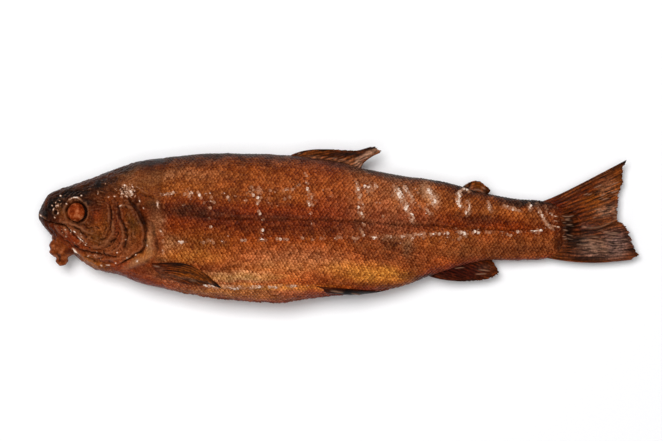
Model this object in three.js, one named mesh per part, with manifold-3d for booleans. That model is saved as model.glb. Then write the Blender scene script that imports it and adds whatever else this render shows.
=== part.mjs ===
// A whole smoked trout, gutted and with its fins on, lying on its right flank.
//
// Millimetres. +X runs from the snout to the tail, +Y from the belly to the back, and +Z up out of the left
// flank. z = 0 is the surface that the fish lies on, and the origin is the middle of its outline there.
//
// The fish is one solid: a lofted body with its head and gill covers as relief, the fins as thin ribbed
// sheets grown into it, and the lump of throat flesh under the jaw. The two cooked eyeballs are loose in
// their sockets, so each is a solid of its own.
import * as THREE from "three";
import { mergeVertices } from "three/addons/utils/BufferGeometryUtils.js";
import Module from "manifold-3d";

// ---- driving dimensions ------------------------------------------------------------------------------

const LENGTH = 400; // snout to the tips of the tail fin
const DEPTH = 97; // belly to back, at the deepest place
const THICKNESS = 45; // flank to flank, at the thickest place
const REST_FLAT = 0.6; // how much of the right flank is pressed flat by its own weight
const GAP = 0.3; // between an eyeball and its socket

const EYE_RADIUS = 0.0158 * LENGTH;
const EYE_DEPTH = 0.7 * EYE_RADIUS; // half of the eyeball from front to back
const GILL_STEP = 1.9; // how far the gill cover's rear edge stands proud of the shoulder
const MOUTH_GROOVE = 2.4; // depth of the shut mouth's line at the snout
const FIN_ROOT = 3.0; // thickness of a fin where it leaves the body
const FIN_EDGE = 1.1; // and at its free edge
const RAY_RELIEF = 0.35; // share of a fin's thickness that its rays rise and fall by

// ---- lengths along and across the fish ---------------------------------------------------------------

const along = (share) => (share - 0.5) * LENGTH; // 0 at the snout, 1 at the tail's tips
const across = (share) => share * DEPTH; // 0 on the middle line, 0.5 about the back's height
const place = ([a, b]) => new THREE.Vector2(along(a), across(b));
const flatCurve = (points) => new THREE.SplineCurve(points.map(place));

// Each row is one station: its place along the fish, the lateral line's height, how far the back stands
// above that line and the belly below it, as shares of DEPTH, and then the half thickness and the middle's
// height above the table as shares of THICKNESS.
const STATIONS = [
  [0.0, 0.067, 0.012, 0.014, 0.012, 0.36],
  [0.0065, 0.067, 0.07, 0.058, 0.1, 0.363],
  [0.0165, 0.068, 0.117, 0.115, 0.17, 0.366],
  [0.032, 0.069, 0.144, 0.18, 0.225, 0.372],
  [0.057, 0.071, 0.182, 0.262, 0.29, 0.38],
  [0.087, 0.073, 0.223, 0.36, 0.35, 0.39],
  [0.137, 0.077, 0.306, 0.42, 0.42, 0.41],
  [0.17, 0.075, 0.35, 0.472, 0.456, 0.447],
  [0.212, 0.072, 0.376, 0.51, 0.478, 0.466],
  [0.27, 0.067, 0.413, 0.548, 0.497, 0.484],
  [0.338, 0.062, 0.427, 0.577, 0.5, 0.487],
  [0.404, 0.052, 0.428, 0.58, 0.496, 0.483],
  [0.471, 0.041, 0.41, 0.532, 0.474, 0.464],
  [0.538, 0.034, 0.358, 0.498, 0.43, 0.425],
  [0.604, 0.026, 0.313, 0.448, 0.37, 0.378],
  [0.671, 0.01, 0.279, 0.33, 0.3, 0.333],
  [0.738, -0.01, 0.23, 0.23, 0.24, 0.295],
  [0.805, -0.024, 0.189, 0.205, 0.19, 0.265],
  [0.86, -0.026, 0.185, 0.205, 0.145, 0.245],
  [0.892, -0.026, 0.15, 0.165, 0.085, 0.235],
  [0.912, -0.026, 0.09, 0.1, 0.035, 0.23],
];
const COLUMNS = STATIONS[0].length - 1;
const LEFT_POWER = 2 / 2.15; // the left flank's section is nearly an ellipse
const RIGHT_POWER = 2 / 2.7; // the right one is squarer, where the fish lies on it

const form = new THREE.CubicInterpolant(
  STATIONS.map((row) => along(row[0])),
  STATIONS.flatMap((row) => row.slice(1)),
  COLUMNS,
  new Array(COLUMNS),
);

function section(x) {
  const [line, back, belly, half, middle] = form.evaluate(x);
  return {
    line: line * DEPTH,
    back: back * DEPTH,
    belly: belly * DEPTH,
    half: half * THICKNESS,
    middle: middle * THICKNESS,
  };
}

const signedPower = (value, power) => Math.sign(value) * Math.abs(value) ** power;
const bump = (distance, width) => Math.exp(-((distance / width) ** 2));

// ---- relief of the head and flank --------------------------------------------------------------------

// Edges and grooves as they run over the side of the fish, front or top end first.
const GILL_EDGE = flatCurve([
  [0.148, 0.205],
  [0.162, 0.113],
  [0.172, 0.024],
  [0.179, -0.059],
  [0.179, -0.128],
  [0.172, -0.182],
  [0.157, -0.231],
  [0.133, -0.275],
  [0.106, -0.292],
]);
const SHOULDER_EDGE = flatCurve([
  [0.166, 0.205],
  [0.19, 0.183],
  [0.198, 0.113],
  [0.187, 0.031],
  [0.192, -0.079],
  [0.192, -0.175],
  [0.175, -0.237],
  [0.15, -0.278],
]);
const CHEEK_EDGE = flatCurve([
  [0.118, 0.224],
  [0.127, 0.121],
  [0.134, 0.024],
  [0.135, -0.079],
  [0.125, -0.162],
  [0.103, -0.203],
]);
const MOUTH_LINE = flatCurve([
  [-0.01, 0.085],
  [0.0165, 0.004],
  [0.033, -0.049],
  [0.047, -0.107],
  [0.06, -0.165],
]);
const EYE_CENTRE = place([0.0657, 0.088]);
const EDGE_STEPS = 24;

// How far (x, y) lies from a curve, and on which side: positive behind it, towards the tail.
function distanceTo(curve, x, y) {
  let best = { distance: Infinity, side: 1, share: 0 };
  let from = curve.getPoint(0);
  for (let i = 1; i <= EDGE_STEPS; i++) {
    const to = curve.getPoint(i / EDGE_STEPS);
    const run = new THREE.Vector2().subVectors(to, from);
    const reach = new THREE.Vector2(x - from.x, y - from.y);
    const t = THREE.MathUtils.clamp(reach.dot(run) / run.lengthSq(), 0, 1);
    const distance = reach.clone().addScaledVector(run, -t).length();
    if (distance < best.distance) {
      best = { distance, side: -Math.sign(run.cross(reach)) || 1, share: (i - 1 + t) / EDGE_STEPS };
    }
    from = to;
  }
  return best;
}

// A plate that rises by step towards its edge and drops off behind it into a groove half as deep.
const EDGE_DROP = 1.2; // half the width of the drop
const GROOVE_WIDTH = 3;

function plateEdge(curve, x, y, step, rise) {
  const { distance, side, share } = distanceTo(curve, x, y);
  const behind = side * distance;
  const fade = Math.sin(Math.PI * THREE.MathUtils.clamp(share, 0.02, 0.98)) ** 0.4;
  const dropped = THREE.MathUtils.smoothstep(behind, -EDGE_DROP, EDGE_DROP);
  const plate = (1 - dropped) * step * bump(behind, rise);
  return fade * (plate - dropped * 0.5 * step * bump(behind - EDGE_DROP, GROOVE_WIDTH));
}

function relief(x, y) {
  const line = section(x).line;
  const eye = Math.hypot(x - EYE_CENTRE.x, y - EYE_CENTRE.y);
  const inMouth = distanceTo(MOUTH_LINE, x, y);
  const flank = THREE.MathUtils.smoothstep(x, along(0.19), along(0.26));
  return (
    plateEdge(GILL_EDGE, x, y, GILL_STEP, 11) +
    plateEdge(SHOULDER_EDGE, x, y, 0.5 * GILL_STEP, 6) +
    plateEdge(CHEEK_EDGE, x, y, 0.45 * GILL_STEP, 7) -
    MOUTH_GROOVE * bump(inMouth.distance, 1.4) * (1 - 0.6 * inMouth.share) +
    1.1 * bump(eye - 1.5 * EYE_RADIUS, 2.2) -
    0.6 * flank * bump(y - line, 2.4)
  );
}

// The cut along the belly, pressed nearly shut. width is in turns of skin().
const BELLY_SLIT = { from: along(0.2), to: along(0.61), depth: 1.2, width: 0.015 };

// A point of the skin. turn is 0 along the back, a quarter on the left flank and a half along the belly.
function skin(x, turn) {
  const s = section(x);
  const c = Math.cos(turn * 2 * Math.PI);
  const up = Math.sin(turn * 2 * Math.PI);
  const power = up > 0 ? LEFT_POWER : RIGHT_POWER;
  const y = (c > 0 ? s.back : s.belly) * signedPower(c, power);
  const z = s.half * signedPower(up, power);
  const reach = Math.hypot(y, z);
  const slit =
    BELLY_SLIT.depth *
    bump(turn - 0.5, BELLY_SLIT.width) *
    THREE.MathUtils.smoothstep(x, BELLY_SLIT.from, BELLY_SLIT.from + 12) *
    (1 - THREE.MathUtils.smoothstep(x, BELLY_SLIT.to - 12, BELLY_SLIT.to));
  const swell = relief(x, s.line + y) * Math.abs(up) ** 0.5 - slit;
  const grow = 1 + Math.max(swell, -0.6 * reach) / Math.max(reach, 0.01);
  return new THREE.Vector3(x, s.line + y * grow, s.middle + z * grow);
}

// The height of the plain flank at (x, y), for what lies against it. side is 1 on the left, -1 on the right.
function flankHeight(x, y, side) {
  const s = section(x);
  const power = side > 0 ? LEFT_POWER : RIGHT_POWER;
  const share = Math.min(Math.abs(y - s.line) / (y > s.line ? s.back : s.belly), 1);
  const c = share ** (1 / power);
  return s.middle + side * s.half * (1 - c * c) ** (power / 2);
}

// ---- solids ------------------------------------------------------------------------------------------

const wasm = await Module();
wasm.setup();

function manifoldOf(vertProperties, triangles) {
  const triVerts = new Uint32Array(triangles);
  return new wasm.Manifold(new wasm.Mesh({ numProp: 3, vertProperties, triVerts }));
}

// The closed solid inside a geometry, with its faces turned to point out.
function solidOf(geometry) {
  const bare = geometry.index ? geometry.toNonIndexed() : geometry.clone();
  bare.deleteAttribute("normal");
  bare.deleteAttribute("uv");
  const merged = mergeVertices(bare, 1e-3);
  const points = merged.attributes.position.array;
  const corners = merged.index.array;
  const triangles = [];
  for (let i = 0; i < corners.length; i += 3) {
    const [a, b, c] = corners.slice(i, i + 3);
    if (a !== b && b !== c && c !== a) triangles.push(a, b, c);
  }
  const solid = manifoldOf(points, triangles);
  return solid.volume() < 0 ? manifoldOf(points, triangles.reverse()) : solid;
}

function geometryOf(solid) {
  const mesh = solid.getMesh();
  const geometry = new THREE.BufferGeometry();
  geometry.setAttribute("position", new THREE.BufferAttribute(mesh.vertProperties, mesh.numProp));
  geometry.setIndex(new THREE.BufferAttribute(mesh.triVerts, 1));
  geometry.computeVertexNormals();
  return geometry;
}

function geometryFrom(points, triangles) {
  const geometry = new THREE.BufferGeometry().setFromPoints(points);
  geometry.setIndex(triangles);
  return geometry;
}

// The body: rings of skin points, close together over the head and wider behind it, shut at both ends.
const HEAD_RINGS = 36;
const TRUNK_RINGS = 24;
const RING_POINTS = 56;
const HEAD_END = 0.2;

function ringPlaces() {
  const last = STATIONS.at(-1)[0];
  const head = Array.from({ length: HEAD_RINGS }, (_, i) => HEAD_END * (i / HEAD_RINGS) ** 1.25);
  const trunk = Array.from(
    { length: TRUNK_RINGS + 1 },
    (_, i) => HEAD_END + (last - HEAD_END) * (i / TRUNK_RINGS),
  );
  return [...head, ...trunk].map(along);
}

function bodyGeometry() {
  const places = ringPlaces();
  const points = places.flatMap((x) =>
    Array.from({ length: RING_POINTS }, (_, j) => skin(x, j / RING_POINTS)),
  );
  const ends = [places[0], places.at(-1)].map((x) => {
    const s = section(x);
    return points.push(new THREE.Vector3(x, s.line, s.middle)) - 1;
  });
  const triangles = [];
  const at = (ring, j) => ring * RING_POINTS + (j % RING_POINTS);
  for (let ring = 0; ring + 1 < places.length; ring++) {
    for (let j = 0; j < RING_POINTS; j++) {
      const [a, b, c, d] = [at(ring, j), at(ring, j + 1), at(ring + 1, j), at(ring + 1, j + 1)];
      triangles.push(a, b, c, b, d, c);
    }
  }
  for (let j = 0; j < RING_POINTS; j++) {
    triangles.push(ends[0], at(0, j + 1), at(0, j));
    triangles.push(ends[1], at(places.length - 1, j), at(places.length - 1, j + 1));
  }
  return geometryFrom(points, triangles);
}

// A fin: a thin sheet between its root and its free edge, ribbed by its rays and a little wavy. middle(s, t)
// is its middle surface, with s from the leading to the trailing ray and t from root to edge.
function finGeometry({ middle, rays, rows, facing = () => new THREE.Vector3(0, 0, 1) }) {
  const columns = 2 * rays;
  const faces = [1, -1].map((side) => {
    const points = [];
    for (let i = 0; i <= columns; i++) {
      for (let j = 0; j <= rows; j++) {
        const [s, t] = [i / columns, j / rows];
        const ray = i % 2 ? 1 : 1 - RAY_RELIEF;
        const half = (THREE.MathUtils.lerp(FIN_ROOT, FIN_EDGE, t) / 2) * ray;
        points.push(middle(s, t).addScaledVector(facing(s, t), side * half));
      }
    }
    return points;
  });
  const count = faces[0].length;
  const at = (i, j) => i * (rows + 1) + j;
  const triangles = [];
  for (let i = 0; i < columns; i++) {
    for (let j = 0; j < rows; j++) {
      const [a, b, c, d] = [at(i, j), at(i + 1, j), at(i, j + 1), at(i + 1, j + 1)];
      triangles.push(a, c, b, b, c, d);
      triangles.push(count + a, count + b, count + c, count + b, count + d, count + c);
    }
  }
  const rim = [];
  for (let i = 0; i < columns; i++) rim.push(at(i, 0));
  for (let j = 0; j < rows; j++) rim.push(at(columns, j));
  for (let i = columns; i > 0; i--) rim.push(at(i, rows));
  for (let j = rows; j > 0; j--) rim.push(at(0, j));
  rim.forEach((a, k) => {
    const b = rim[(k + 1) % rim.length];
    triangles.push(a, b, count + a, b, count + b, count + a);
  });
  return geometryFrom([...faces[0], ...faces[1]], triangles);
}

// The middle surface of a fin that stands in the fish's own middle plane. lean tips its free edge up or down,
// and sag lets its last rays hang in a curve.
const WAVE = 0.9;

function uprightFin(root, edge, lean, sag = 0) {
  const [from, to] = [flatCurve(root), flatCurve(edge)];
  return (s, t) => {
    const base = from.getPoint(s);
    const tip = to.getPoint(s);
    const run = new THREE.Vector2().subVectors(tip, base);
    const at = base.clone().addScaledVector(run, t);
    at.y -= sag * Math.sin(Math.PI * t) * s ** 5;
    const height = section(THREE.MathUtils.clamp(at.x, along(0.02), along(0.9))).middle;
    const wave = WAVE * t * Math.sin(9 * s + 2.5 * t);
    return new THREE.Vector3(at.x, at.y, height + lean * t + wave);
  };
}

// The middle surface of a fin that lies back against a flank.
function flatFin(root, edge, side, lift) {
  const [from, to] = [flatCurve(root), flatCurve(edge)];
  return (s, t) => {
    const at = from.getPoint(s).lerp(to.getPoint(s), t);
    const line = section(at.x).line;
    const reach = section(at.x).belly * 0.97;
    const y = Math.max(at.y, line - reach);
    return new THREE.Vector3(at.x, at.y, flankHeight(at.x, y, side) + side * lift * (0.3 + 0.7 * t));
  };
}

const TAIL_ROOT = [
  [0.835, 0.165],
  [0.862, 0.09],
  [0.87, -0.026],
  [0.866, -0.15],
  [0.842, -0.222],
];
const TAIL_EDGE = [
  [0.981, 0.437],
  [0.974, 0.385],
  [0.974, 0.31],
  [0.966, 0.216],
  [0.963, 0.106],
  [0.962, 0.034],
  [0.968, 0.02],
  [0.977, -0.02],
  [0.981, -0.078],
  [0.992, -0.16],
  [1.0, -0.197],
  [0.988, -0.236],
];
const DORSAL_ROOT = [
  [0.41, 0.455],
  [0.475, 0.4],
  [0.537, 0.36],
];
const DORSAL_EDGE = [
  [0.424, 0.496],
  [0.453, 0.519],
  [0.486, 0.523],
  [0.53, 0.51],
  [0.564, 0.524],
  [0.569, 0.505],
  [0.556, 0.475],
  [0.54, 0.43],
];
const ADIPOSE_ROOT = [
  [0.712, 0.22],
  [0.742, 0.185],
];
const ADIPOSE_EDGE = [
  [0.708, 0.265],
  [0.718, 0.3],
  [0.737, 0.296],
  [0.753, 0.245],
  [0.746, 0.205],
];
const ANAL_ROOT = [
  [0.64, -0.33],
  [0.7, -0.255],
  [0.752, -0.215],
];
const ANAL_EDGE = [
  [0.648, -0.358],
  [0.68, -0.38],
  [0.71, -0.388],
  [0.74, -0.374],
  [0.763, -0.325],
  [0.759, -0.298],
  [0.752, -0.25],
];
const PECTORAL_ROOT = [
  [0.182, -0.255],
  [0.19, -0.32],
];
const PECTORAL_EDGE = [
  [0.27, -0.272],
  [0.295, -0.33],
  [0.309, -0.43],
  [0.277, -0.395],
];
const PELVIC_ROOT = [
  [0.455, -0.41],
  [0.468, -0.45],
];
const PELVIC_EDGE = [
  [0.52, -0.432],
  [0.56, -0.445],
  [0.576, -0.455],
  [0.535, -0.476],
];
const PAIRED_LIFT = 0.9; // the paired fins' middle surface stands this far off the flank
const SIDES = { left: 1, right: -1 };

function finSolids() {
  const upright = [
    { middle: uprightFin(TAIL_ROOT, TAIL_EDGE, -1.5, 1.8), rays: 13, rows: 6 },
    { middle: uprightFin(DORSAL_ROOT, DORSAL_EDGE, 2), rays: 7, rows: 4 },
    { middle: uprightFin(ADIPOSE_ROOT, ADIPOSE_EDGE, 2), rays: 4, rows: 3 },
    { middle: uprightFin(ANAL_ROOT, ANAL_EDGE, -1), rays: 7, rows: 4 },
  ];
  const paired = Object.values(SIDES).flatMap((side) => [
    { middle: flatFin(PECTORAL_ROOT, PECTORAL_EDGE, side, PAIRED_LIFT), rays: 4, rows: 6 },
    { middle: flatFin(PELVIC_ROOT, PELVIC_EDGE, side, PAIRED_LIFT), rays: 3, rows: 5 },
  ]);
  return [...upright, ...paired].map((fin) => solidOf(finGeometry(fin)));
}

// The torn flesh of the throat hangs out under the lower jaw as a few rounded lobes.
const THROAT_LOBES = [
  { at: [0.039, -0.089], size: [7, 5, 5.5] },
  { at: [0.0305, -0.146], size: [6, 6, 5.5] },
  { at: [0.048, -0.15], size: [6, 6, 5.3] },
  { at: [0.038, -0.196], size: [5.4, 4.6, 4.5] },
  { at: [0.0373, -0.238], size: [4.8, 5, 4.2] },
];

function throatSolids() {
  return THROAT_LOBES.map(({ at, size }) => {
    const lobe = new THREE.IcosahedronGeometry(1, 1).scale(...size);
    const { x, y } = place(at);
    return solidOf(lobe.translate(x, y, section(x).middle));
  });
}

// An eyeball, or with a gap the hollow that it sits in.
function eyeSolid(side, gap = 0) {
  const ball = new THREE.SphereGeometry(1, 18, 10);
  ball.scale(EYE_RADIUS + gap, EYE_RADIUS + gap, EYE_DEPTH + gap);
  const height = flankHeight(EYE_CENTRE.x, EYE_CENTRE.y, side) - side * 0.62 * EYE_DEPTH;
  return solidOf(ball.translate(EYE_CENTRE.x, EYE_CENTRE.y, height));
}

function tableSolid() {
  const slab = new THREE.BoxGeometry(2 * LENGTH, 2 * LENGTH, THICKNESS);
  return solidOf(slab.translate(0, 0, -THICKNESS / 2));
}

let fish = solidOf(bodyGeometry());
for (const piece of [...finSolids(), ...throatSolids()]) fish = fish.add(piece);
for (const side of Object.values(SIDES)) fish = fish.subtract(eyeSolid(side, GAP));
fish = fish.translate([0, 0, -REST_FLAT]).subtract(tableSolid());

// Only the outer shell is kept: this fills the pockets that a fin lying on the flank shuts in.
fish = fish.decompose().reduce((most, shell) => (shell.volume() > most.volume() ? shell : most));

// ---- the object --------------------------------------------------------------------------------------

const skinMaterial = new THREE.MeshStandardMaterial({ color: 0x8a4a22, roughness: 0.38, metalness: 0 });
const eyeMaterial = new THREE.MeshStandardMaterial({ color: 0x9c4a22, roughness: 0.55, metalness: 0 });

const trout = new THREE.Group();

function addPiece(name, solid, material) {
  const mesh = new THREE.Mesh(geometryOf(solid), material);
  mesh.name = name;
  trout.add(mesh);
}

addPiece("fish", fish, skinMaterial);
for (const [name, side] of Object.entries(SIDES)) {
  addPiece(`eye_${name}`, eyeSolid(side).translate([0, 0, -REST_FLAT]), eyeMaterial);
}

// The outline's middle goes to the origin.
const outline = new THREE.Box3().setFromObject(trout);
const centre = outline.getCenter(new THREE.Vector3());
trout.children.forEach((mesh) => mesh.position.set(-centre.x, -centre.y, 0));

export default trout;
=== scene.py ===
"""A whole hot-smoked trout on a white table, seen from straight above.

The fish lies on its right flank with its head at -X, its back at +Y and its left flank up. Sizes are in
millimetres up to the point where a mesh is made, and MM turns them into metres there.
"""

import bpy
import numpy as np
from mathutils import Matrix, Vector


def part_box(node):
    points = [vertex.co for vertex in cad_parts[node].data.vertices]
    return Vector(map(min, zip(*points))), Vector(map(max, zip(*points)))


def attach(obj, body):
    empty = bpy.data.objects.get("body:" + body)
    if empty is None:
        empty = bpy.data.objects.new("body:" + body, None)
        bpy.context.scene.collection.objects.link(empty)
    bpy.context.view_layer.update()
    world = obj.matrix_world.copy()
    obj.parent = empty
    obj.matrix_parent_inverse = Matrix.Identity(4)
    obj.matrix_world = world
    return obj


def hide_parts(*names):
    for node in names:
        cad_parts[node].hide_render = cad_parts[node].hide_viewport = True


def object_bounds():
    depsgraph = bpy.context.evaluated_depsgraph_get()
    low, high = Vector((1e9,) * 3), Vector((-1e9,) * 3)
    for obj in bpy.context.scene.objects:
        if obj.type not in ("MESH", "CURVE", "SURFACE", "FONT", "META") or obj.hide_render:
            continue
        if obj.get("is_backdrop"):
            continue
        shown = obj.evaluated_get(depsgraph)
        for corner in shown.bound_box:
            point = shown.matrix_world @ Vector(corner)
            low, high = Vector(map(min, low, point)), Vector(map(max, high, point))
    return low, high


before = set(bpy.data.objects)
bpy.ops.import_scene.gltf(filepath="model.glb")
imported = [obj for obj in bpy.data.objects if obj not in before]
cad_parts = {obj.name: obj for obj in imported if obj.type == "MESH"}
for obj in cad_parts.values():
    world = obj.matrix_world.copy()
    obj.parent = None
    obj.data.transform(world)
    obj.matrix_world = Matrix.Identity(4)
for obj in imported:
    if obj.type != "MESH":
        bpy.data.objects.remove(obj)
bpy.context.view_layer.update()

MM = 0.001

# ---- table, camera and light -------------------------------------------------------------------------
# A matt white table top, with a camera that looks straight down on it. A key light over the back and a
# large soft light overhead give the soft shadow round the fish. A small softbox over the back and a small
# light over the belly show only as gloss on the oil.

VIEW_WIDTH = 442.4  # what the picture takes in, at the height of the fish's outline
OUTLINE_HEIGHT = 17
VIEW_CENTRE = (-4.5, 3.0)
FOCAL, SENSOR = 150, 36
TABLE_SIDE = 6000
ROOM_LIGHT = 0.04  # what the white walls of the room send back


def linear(code):
    """A colour written as sRGB hex, in the linear values that Blender works in."""
    parts = [int(code[i : i + 2], 16) / 255 for i in (1, 3, 5)]
    return [c / 12.92 if c <= 0.04045 else ((c + 0.055) / 1.055) ** 2.4 for c in parts] + [1.0]


def add(tree, kind, inputs=(), **settings):
    """Adds a node with its settings. Each input is a value, a socket, or a node whose first live output
    is linked to it. A Mix node's inputs 0, 6 and 7 are its factor and its two colours."""
    made = tree.nodes.new(kind)
    for key, value in settings.items():
        setattr(made, key, value)
    for key, value in dict(inputs).items():
        if isinstance(value, bpy.types.Node):
            value = next(socket for socket in value.outputs if socket.enabled)
        if isinstance(value, bpy.types.NodeSocket):
            tree.links.new(value, made.inputs[key])
        else:
            made.inputs[key].default_value = value
    return made


def new_material(name):
    """A new material and its empty node tree."""
    made = bpy.data.materials.new(name)
    made.use_nodes = True
    made.node_tree.nodes.clear()
    return made, made.node_tree


def link(obj):
    """Puts an object into the scene and gives it back."""
    bpy.context.scene.collection.objects.link(obj)
    return obj


camera = link(bpy.data.objects.new("camera", bpy.data.cameras.new("camera")))
camera.data.lens, camera.data.sensor_width = FOCAL, SENSOR
camera.location = (
    VIEW_CENTRE[0] * MM,
    VIEW_CENTRE[1] * MM,
    (OUTLINE_HEIGHT + VIEW_WIDTH * FOCAL / SENSOR) * MM,
)
bpy.context.scene.camera = camera
bpy.context.scene.view_settings.view_transform = "Standard"

reach = TABLE_SIDE / 2 * MM
table_mesh = bpy.data.meshes.new("table")
table_corners = [(-reach, -reach, 0), (reach, -reach, 0), (reach, reach, 0), (-reach, reach, 0)]
table_mesh.from_pydata(table_corners, [], [(0, 1, 2, 3)])
table = link(bpy.data.objects.new("table", table_mesh))

# Matt white paper: next to no gloss, and a faint grain of about 1.1 mm that keeps it from looking blank.
paper, tree = new_material("matt white paper")
coords = add(tree, "ShaderNodeTexCoord").outputs["Object"]
grain = add(tree, "ShaderNodeTexNoise", {"Scale": 900.0, "Detail": 3.0, "Vector": coords})
tone = add(tree, "ShaderNodeMix", {0: grain, 6: linear("#f6f6f7"), 7: linear("#fbfbfc")}, data_type="RGBA")
surface = add(
    tree, "ShaderNodeBsdfPrincipled", {"Base Color": tone, "Roughness": 0.9, "Specular IOR Level": 0.1}
)
add(tree, "ShaderNodeOutputMaterial", {"Surface": surface})
table.data.materials.append(paper)
table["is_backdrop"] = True

# Each light: degrees off the zenith towards +Y and towards +X, distance, side, power in watts, and whether
# it lights the matt side of things or shows in their gloss.
LIGHTS = {
    "key light over the back": (15, -13, 3200, 1350, 57.0, "matt"),
    "soft light overhead": (3, -2, 3200, 3000, 69.0, "matt"),
    "softbox over the back": (31, 2, 1200, 300, 3.2, "gloss"),
    "small light over the belly": (-38, 10, 1300, 260, 0.8, "gloss"),
    "fill from the belly side": (-52, -12, 1600, 1100, 0.5, "matt"),
    "fill from the head": (12, -58, 1600, 900, 0.5, "matt"),
    "fill from the tail": (14, 58, 1600, 900, 0.7, "matt"),
}
for name, (towards_y, towards_x, distance, side, power, shows) in LIGHTS.items():
    lamp = link(bpy.data.objects.new(name, bpy.data.lights.new(name, "AREA")))
    lamp.data.shape, lamp.data.size, lamp.data.energy = "SQUARE", side * MM, power
    lamp.rotation_euler = (np.radians(-towards_y), np.radians(towards_x), 0)
    lamp.location = lamp.rotation_euler.to_matrix() @ Vector((0, 0, distance * MM))
    lamp.visible_diffuse, lamp.visible_glossy = shows == "matt", shows == "gloss"
world = bpy.data.worlds.new("room")
world.use_nodes = True
world.node_tree.nodes["Background"].inputs["Color"].default_value = linear("#ffffff")
world.node_tree.nodes["Background"].inputs["Strength"].default_value = ROOM_LIGHT
bpy.context.scene.world = world

# ---- skin of the head and body -----------------------------------------------------------------------
# Dried, oily trout skin over firm flesh: the bones of the head show through it, and the body carries a dark
# lateral line and the marks of the wire rack that it was smoked on. It is made in two closed lengths of
# rings, and the rear one starts just under the end of the front one, behind the gills.

LENGTH, DEPTH, THICKNESS = 400, 97, 45
REST_FLAT = 0.6  # how much of the right flank is pressed flat

# Each row: its place along the fish, the middle line's height, how far the back stands above that line and
# the belly below it, as shares of DEPTH, then half the thickness and the middle's height, of THICKNESS.
STATIONS = np.array([
    [0.0, 0.062, 0.03, 0.02, 0.012, 0.36],
    [0.0065, 0.064, 0.085, 0.062, 0.1, 0.363],
    [0.0165, 0.068, 0.14, 0.115, 0.17, 0.366],
    [0.032, 0.069, 0.172, 0.18, 0.225, 0.372],
    [0.057, 0.071, 0.205, 0.262, 0.29, 0.38],
    [0.087, 0.073, 0.247, 0.36, 0.35, 0.39],
    [0.137, 0.077, 0.322, 0.42, 0.42, 0.41],
    [0.17, 0.075, 0.364, 0.472, 0.456, 0.447],
    [0.212, 0.072, 0.388, 0.51, 0.478, 0.466],
    [0.27, 0.067, 0.42, 0.548, 0.497, 0.484],
    [0.338, 0.062, 0.427, 0.577, 0.5, 0.487],
    [0.404, 0.052, 0.428, 0.58, 0.496, 0.483],
    [0.471, 0.041, 0.41, 0.532, 0.474, 0.464],
    [0.538, 0.034, 0.358, 0.498, 0.43, 0.425],
    [0.604, 0.026, 0.313, 0.448, 0.37, 0.378],
    [0.671, 0.01, 0.29, 0.33, 0.3, 0.333],
    [0.738, -0.01, 0.238, 0.236, 0.24, 0.295],
    [0.805, -0.024, 0.2, 0.217, 0.19, 0.265],
    [0.84, -0.026, 0.19, 0.208, 0.13, 0.25],
    [0.868, -0.026, 0.16, 0.18, 0.075, 0.24],
    [0.89, -0.026, 0.13, 0.145, 0.035, 0.235],
    [0.905, -0.026, 0.08, 0.09, 0.012, 0.23],
])
LEFT_POWER, RIGHT_POWER = 2 / 2.15, 2 / 2.7  # how full the section is on each flank
EYE_SHARE = (0.0657, 0.088)  # the eye's place along the fish and above the middle, of LENGTH and DEPTH

eye_low, eye_high = (np.array(corner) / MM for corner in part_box("eye_left"))
EYE = (eye_low + eye_high) / 2
EYE_RADIUS = (eye_high[0] - eye_low[0]) / 2
SHIFT = EYE[:2] - ((EYE_SHARE[0] - 0.5) * LENGTH, EYE_SHARE[1] * DEPTH)


def place(share):
    """A place given in shares of the length and depth, in millimetres."""
    return (share[0] - 0.5) * LENGTH + SHIFT[0], share[1] * DEPTH + SHIFT[1]


def smooth_rows(rows, at):
    """The rows' columns after the first, at places along the first, on a smooth curve through them."""
    slopes = np.gradient(rows[:, 1:], rows[:, 0], axis=0)
    i = np.clip(np.searchsorted(rows[:, 0], at) - 1, 0, len(rows) - 2)
    step = (rows[i + 1, 0] - rows[i, 0])[..., None]
    t = np.clip((at - rows[i, 0])[..., None] / step, 0, 1)
    return (
        (1 + 2 * t) * (1 - t) ** 2 * rows[i, 1:]
        + t * (1 - t) ** 2 * step * slopes[i]
        + t * t * (3 - 2 * t) * rows[i + 1, 1:]
        - t * t * (1 - t) * step * slopes[i + 1]
    )


def section(x):
    """The line, back, belly, half thickness and middle height of the body's section at x."""
    rows = smooth_rows(STATIONS, (np.asarray(x, float) - SHIFT[0]) / LENGTH + 0.5)
    line, back, belly, half, middle = np.moveaxis(rows, -1, 0)
    line, back, belly = line * DEPTH + SHIFT[1], back * DEPTH, belly * DEPTH
    return line, back, belly, half * THICKNESS, middle * THICKNESS - REST_FLAT


def smooth(value, low, high):
    """Rises from 0 to 1 as the value goes from low to high."""
    t = np.clip((value - low) / (high - low), 0, 1)
    return t * t * (3 - 2 * t)


def bump(distance, width):
    """1 at no distance, falling smoothly to nothing over about twice the width."""
    return np.exp(-((distance / width) ** 2))


def taper(share):
    """1 along a line, falling to nothing at its two ends."""
    return np.sin(np.pi * np.clip(share, 0.02, 0.98)) ** 0.35


LATTICE = 32  # lumps each way, after which their pattern comes back


def rumple(points, size, seed):
    """Smooth random values between -1 and 1 whose lumps measure size, or sizes along X, Y and Z."""
    lattice = np.random.default_rng(seed).uniform(-1, 1, (LATTICE, LATTICE, LATTICE))
    where = points / np.asarray(size, float)
    cell = np.floor(where).astype(int)
    share = where - cell
    share = share * share * (3 - 2 * share)
    total = np.zeros(points.shape[:-1])
    for corner in np.ndindex(2, 2, 2):
        weight = np.prod(np.where(corner, share, 1 - share), axis=-1)
        total += weight * lattice[tuple(np.moveaxis((cell + corner) % LATTICE, -1, 0))]
    return total


def curve_through(points, steps=48):
    """Evenly many points of a smooth curve through the given ones."""
    points = np.array(points, float)
    span = np.r_[0, np.cumsum(np.linalg.norm(np.diff(points, axis=0), axis=1))]
    return smooth_rows(np.c_[span, points], np.linspace(0, span[-1], steps))


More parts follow.
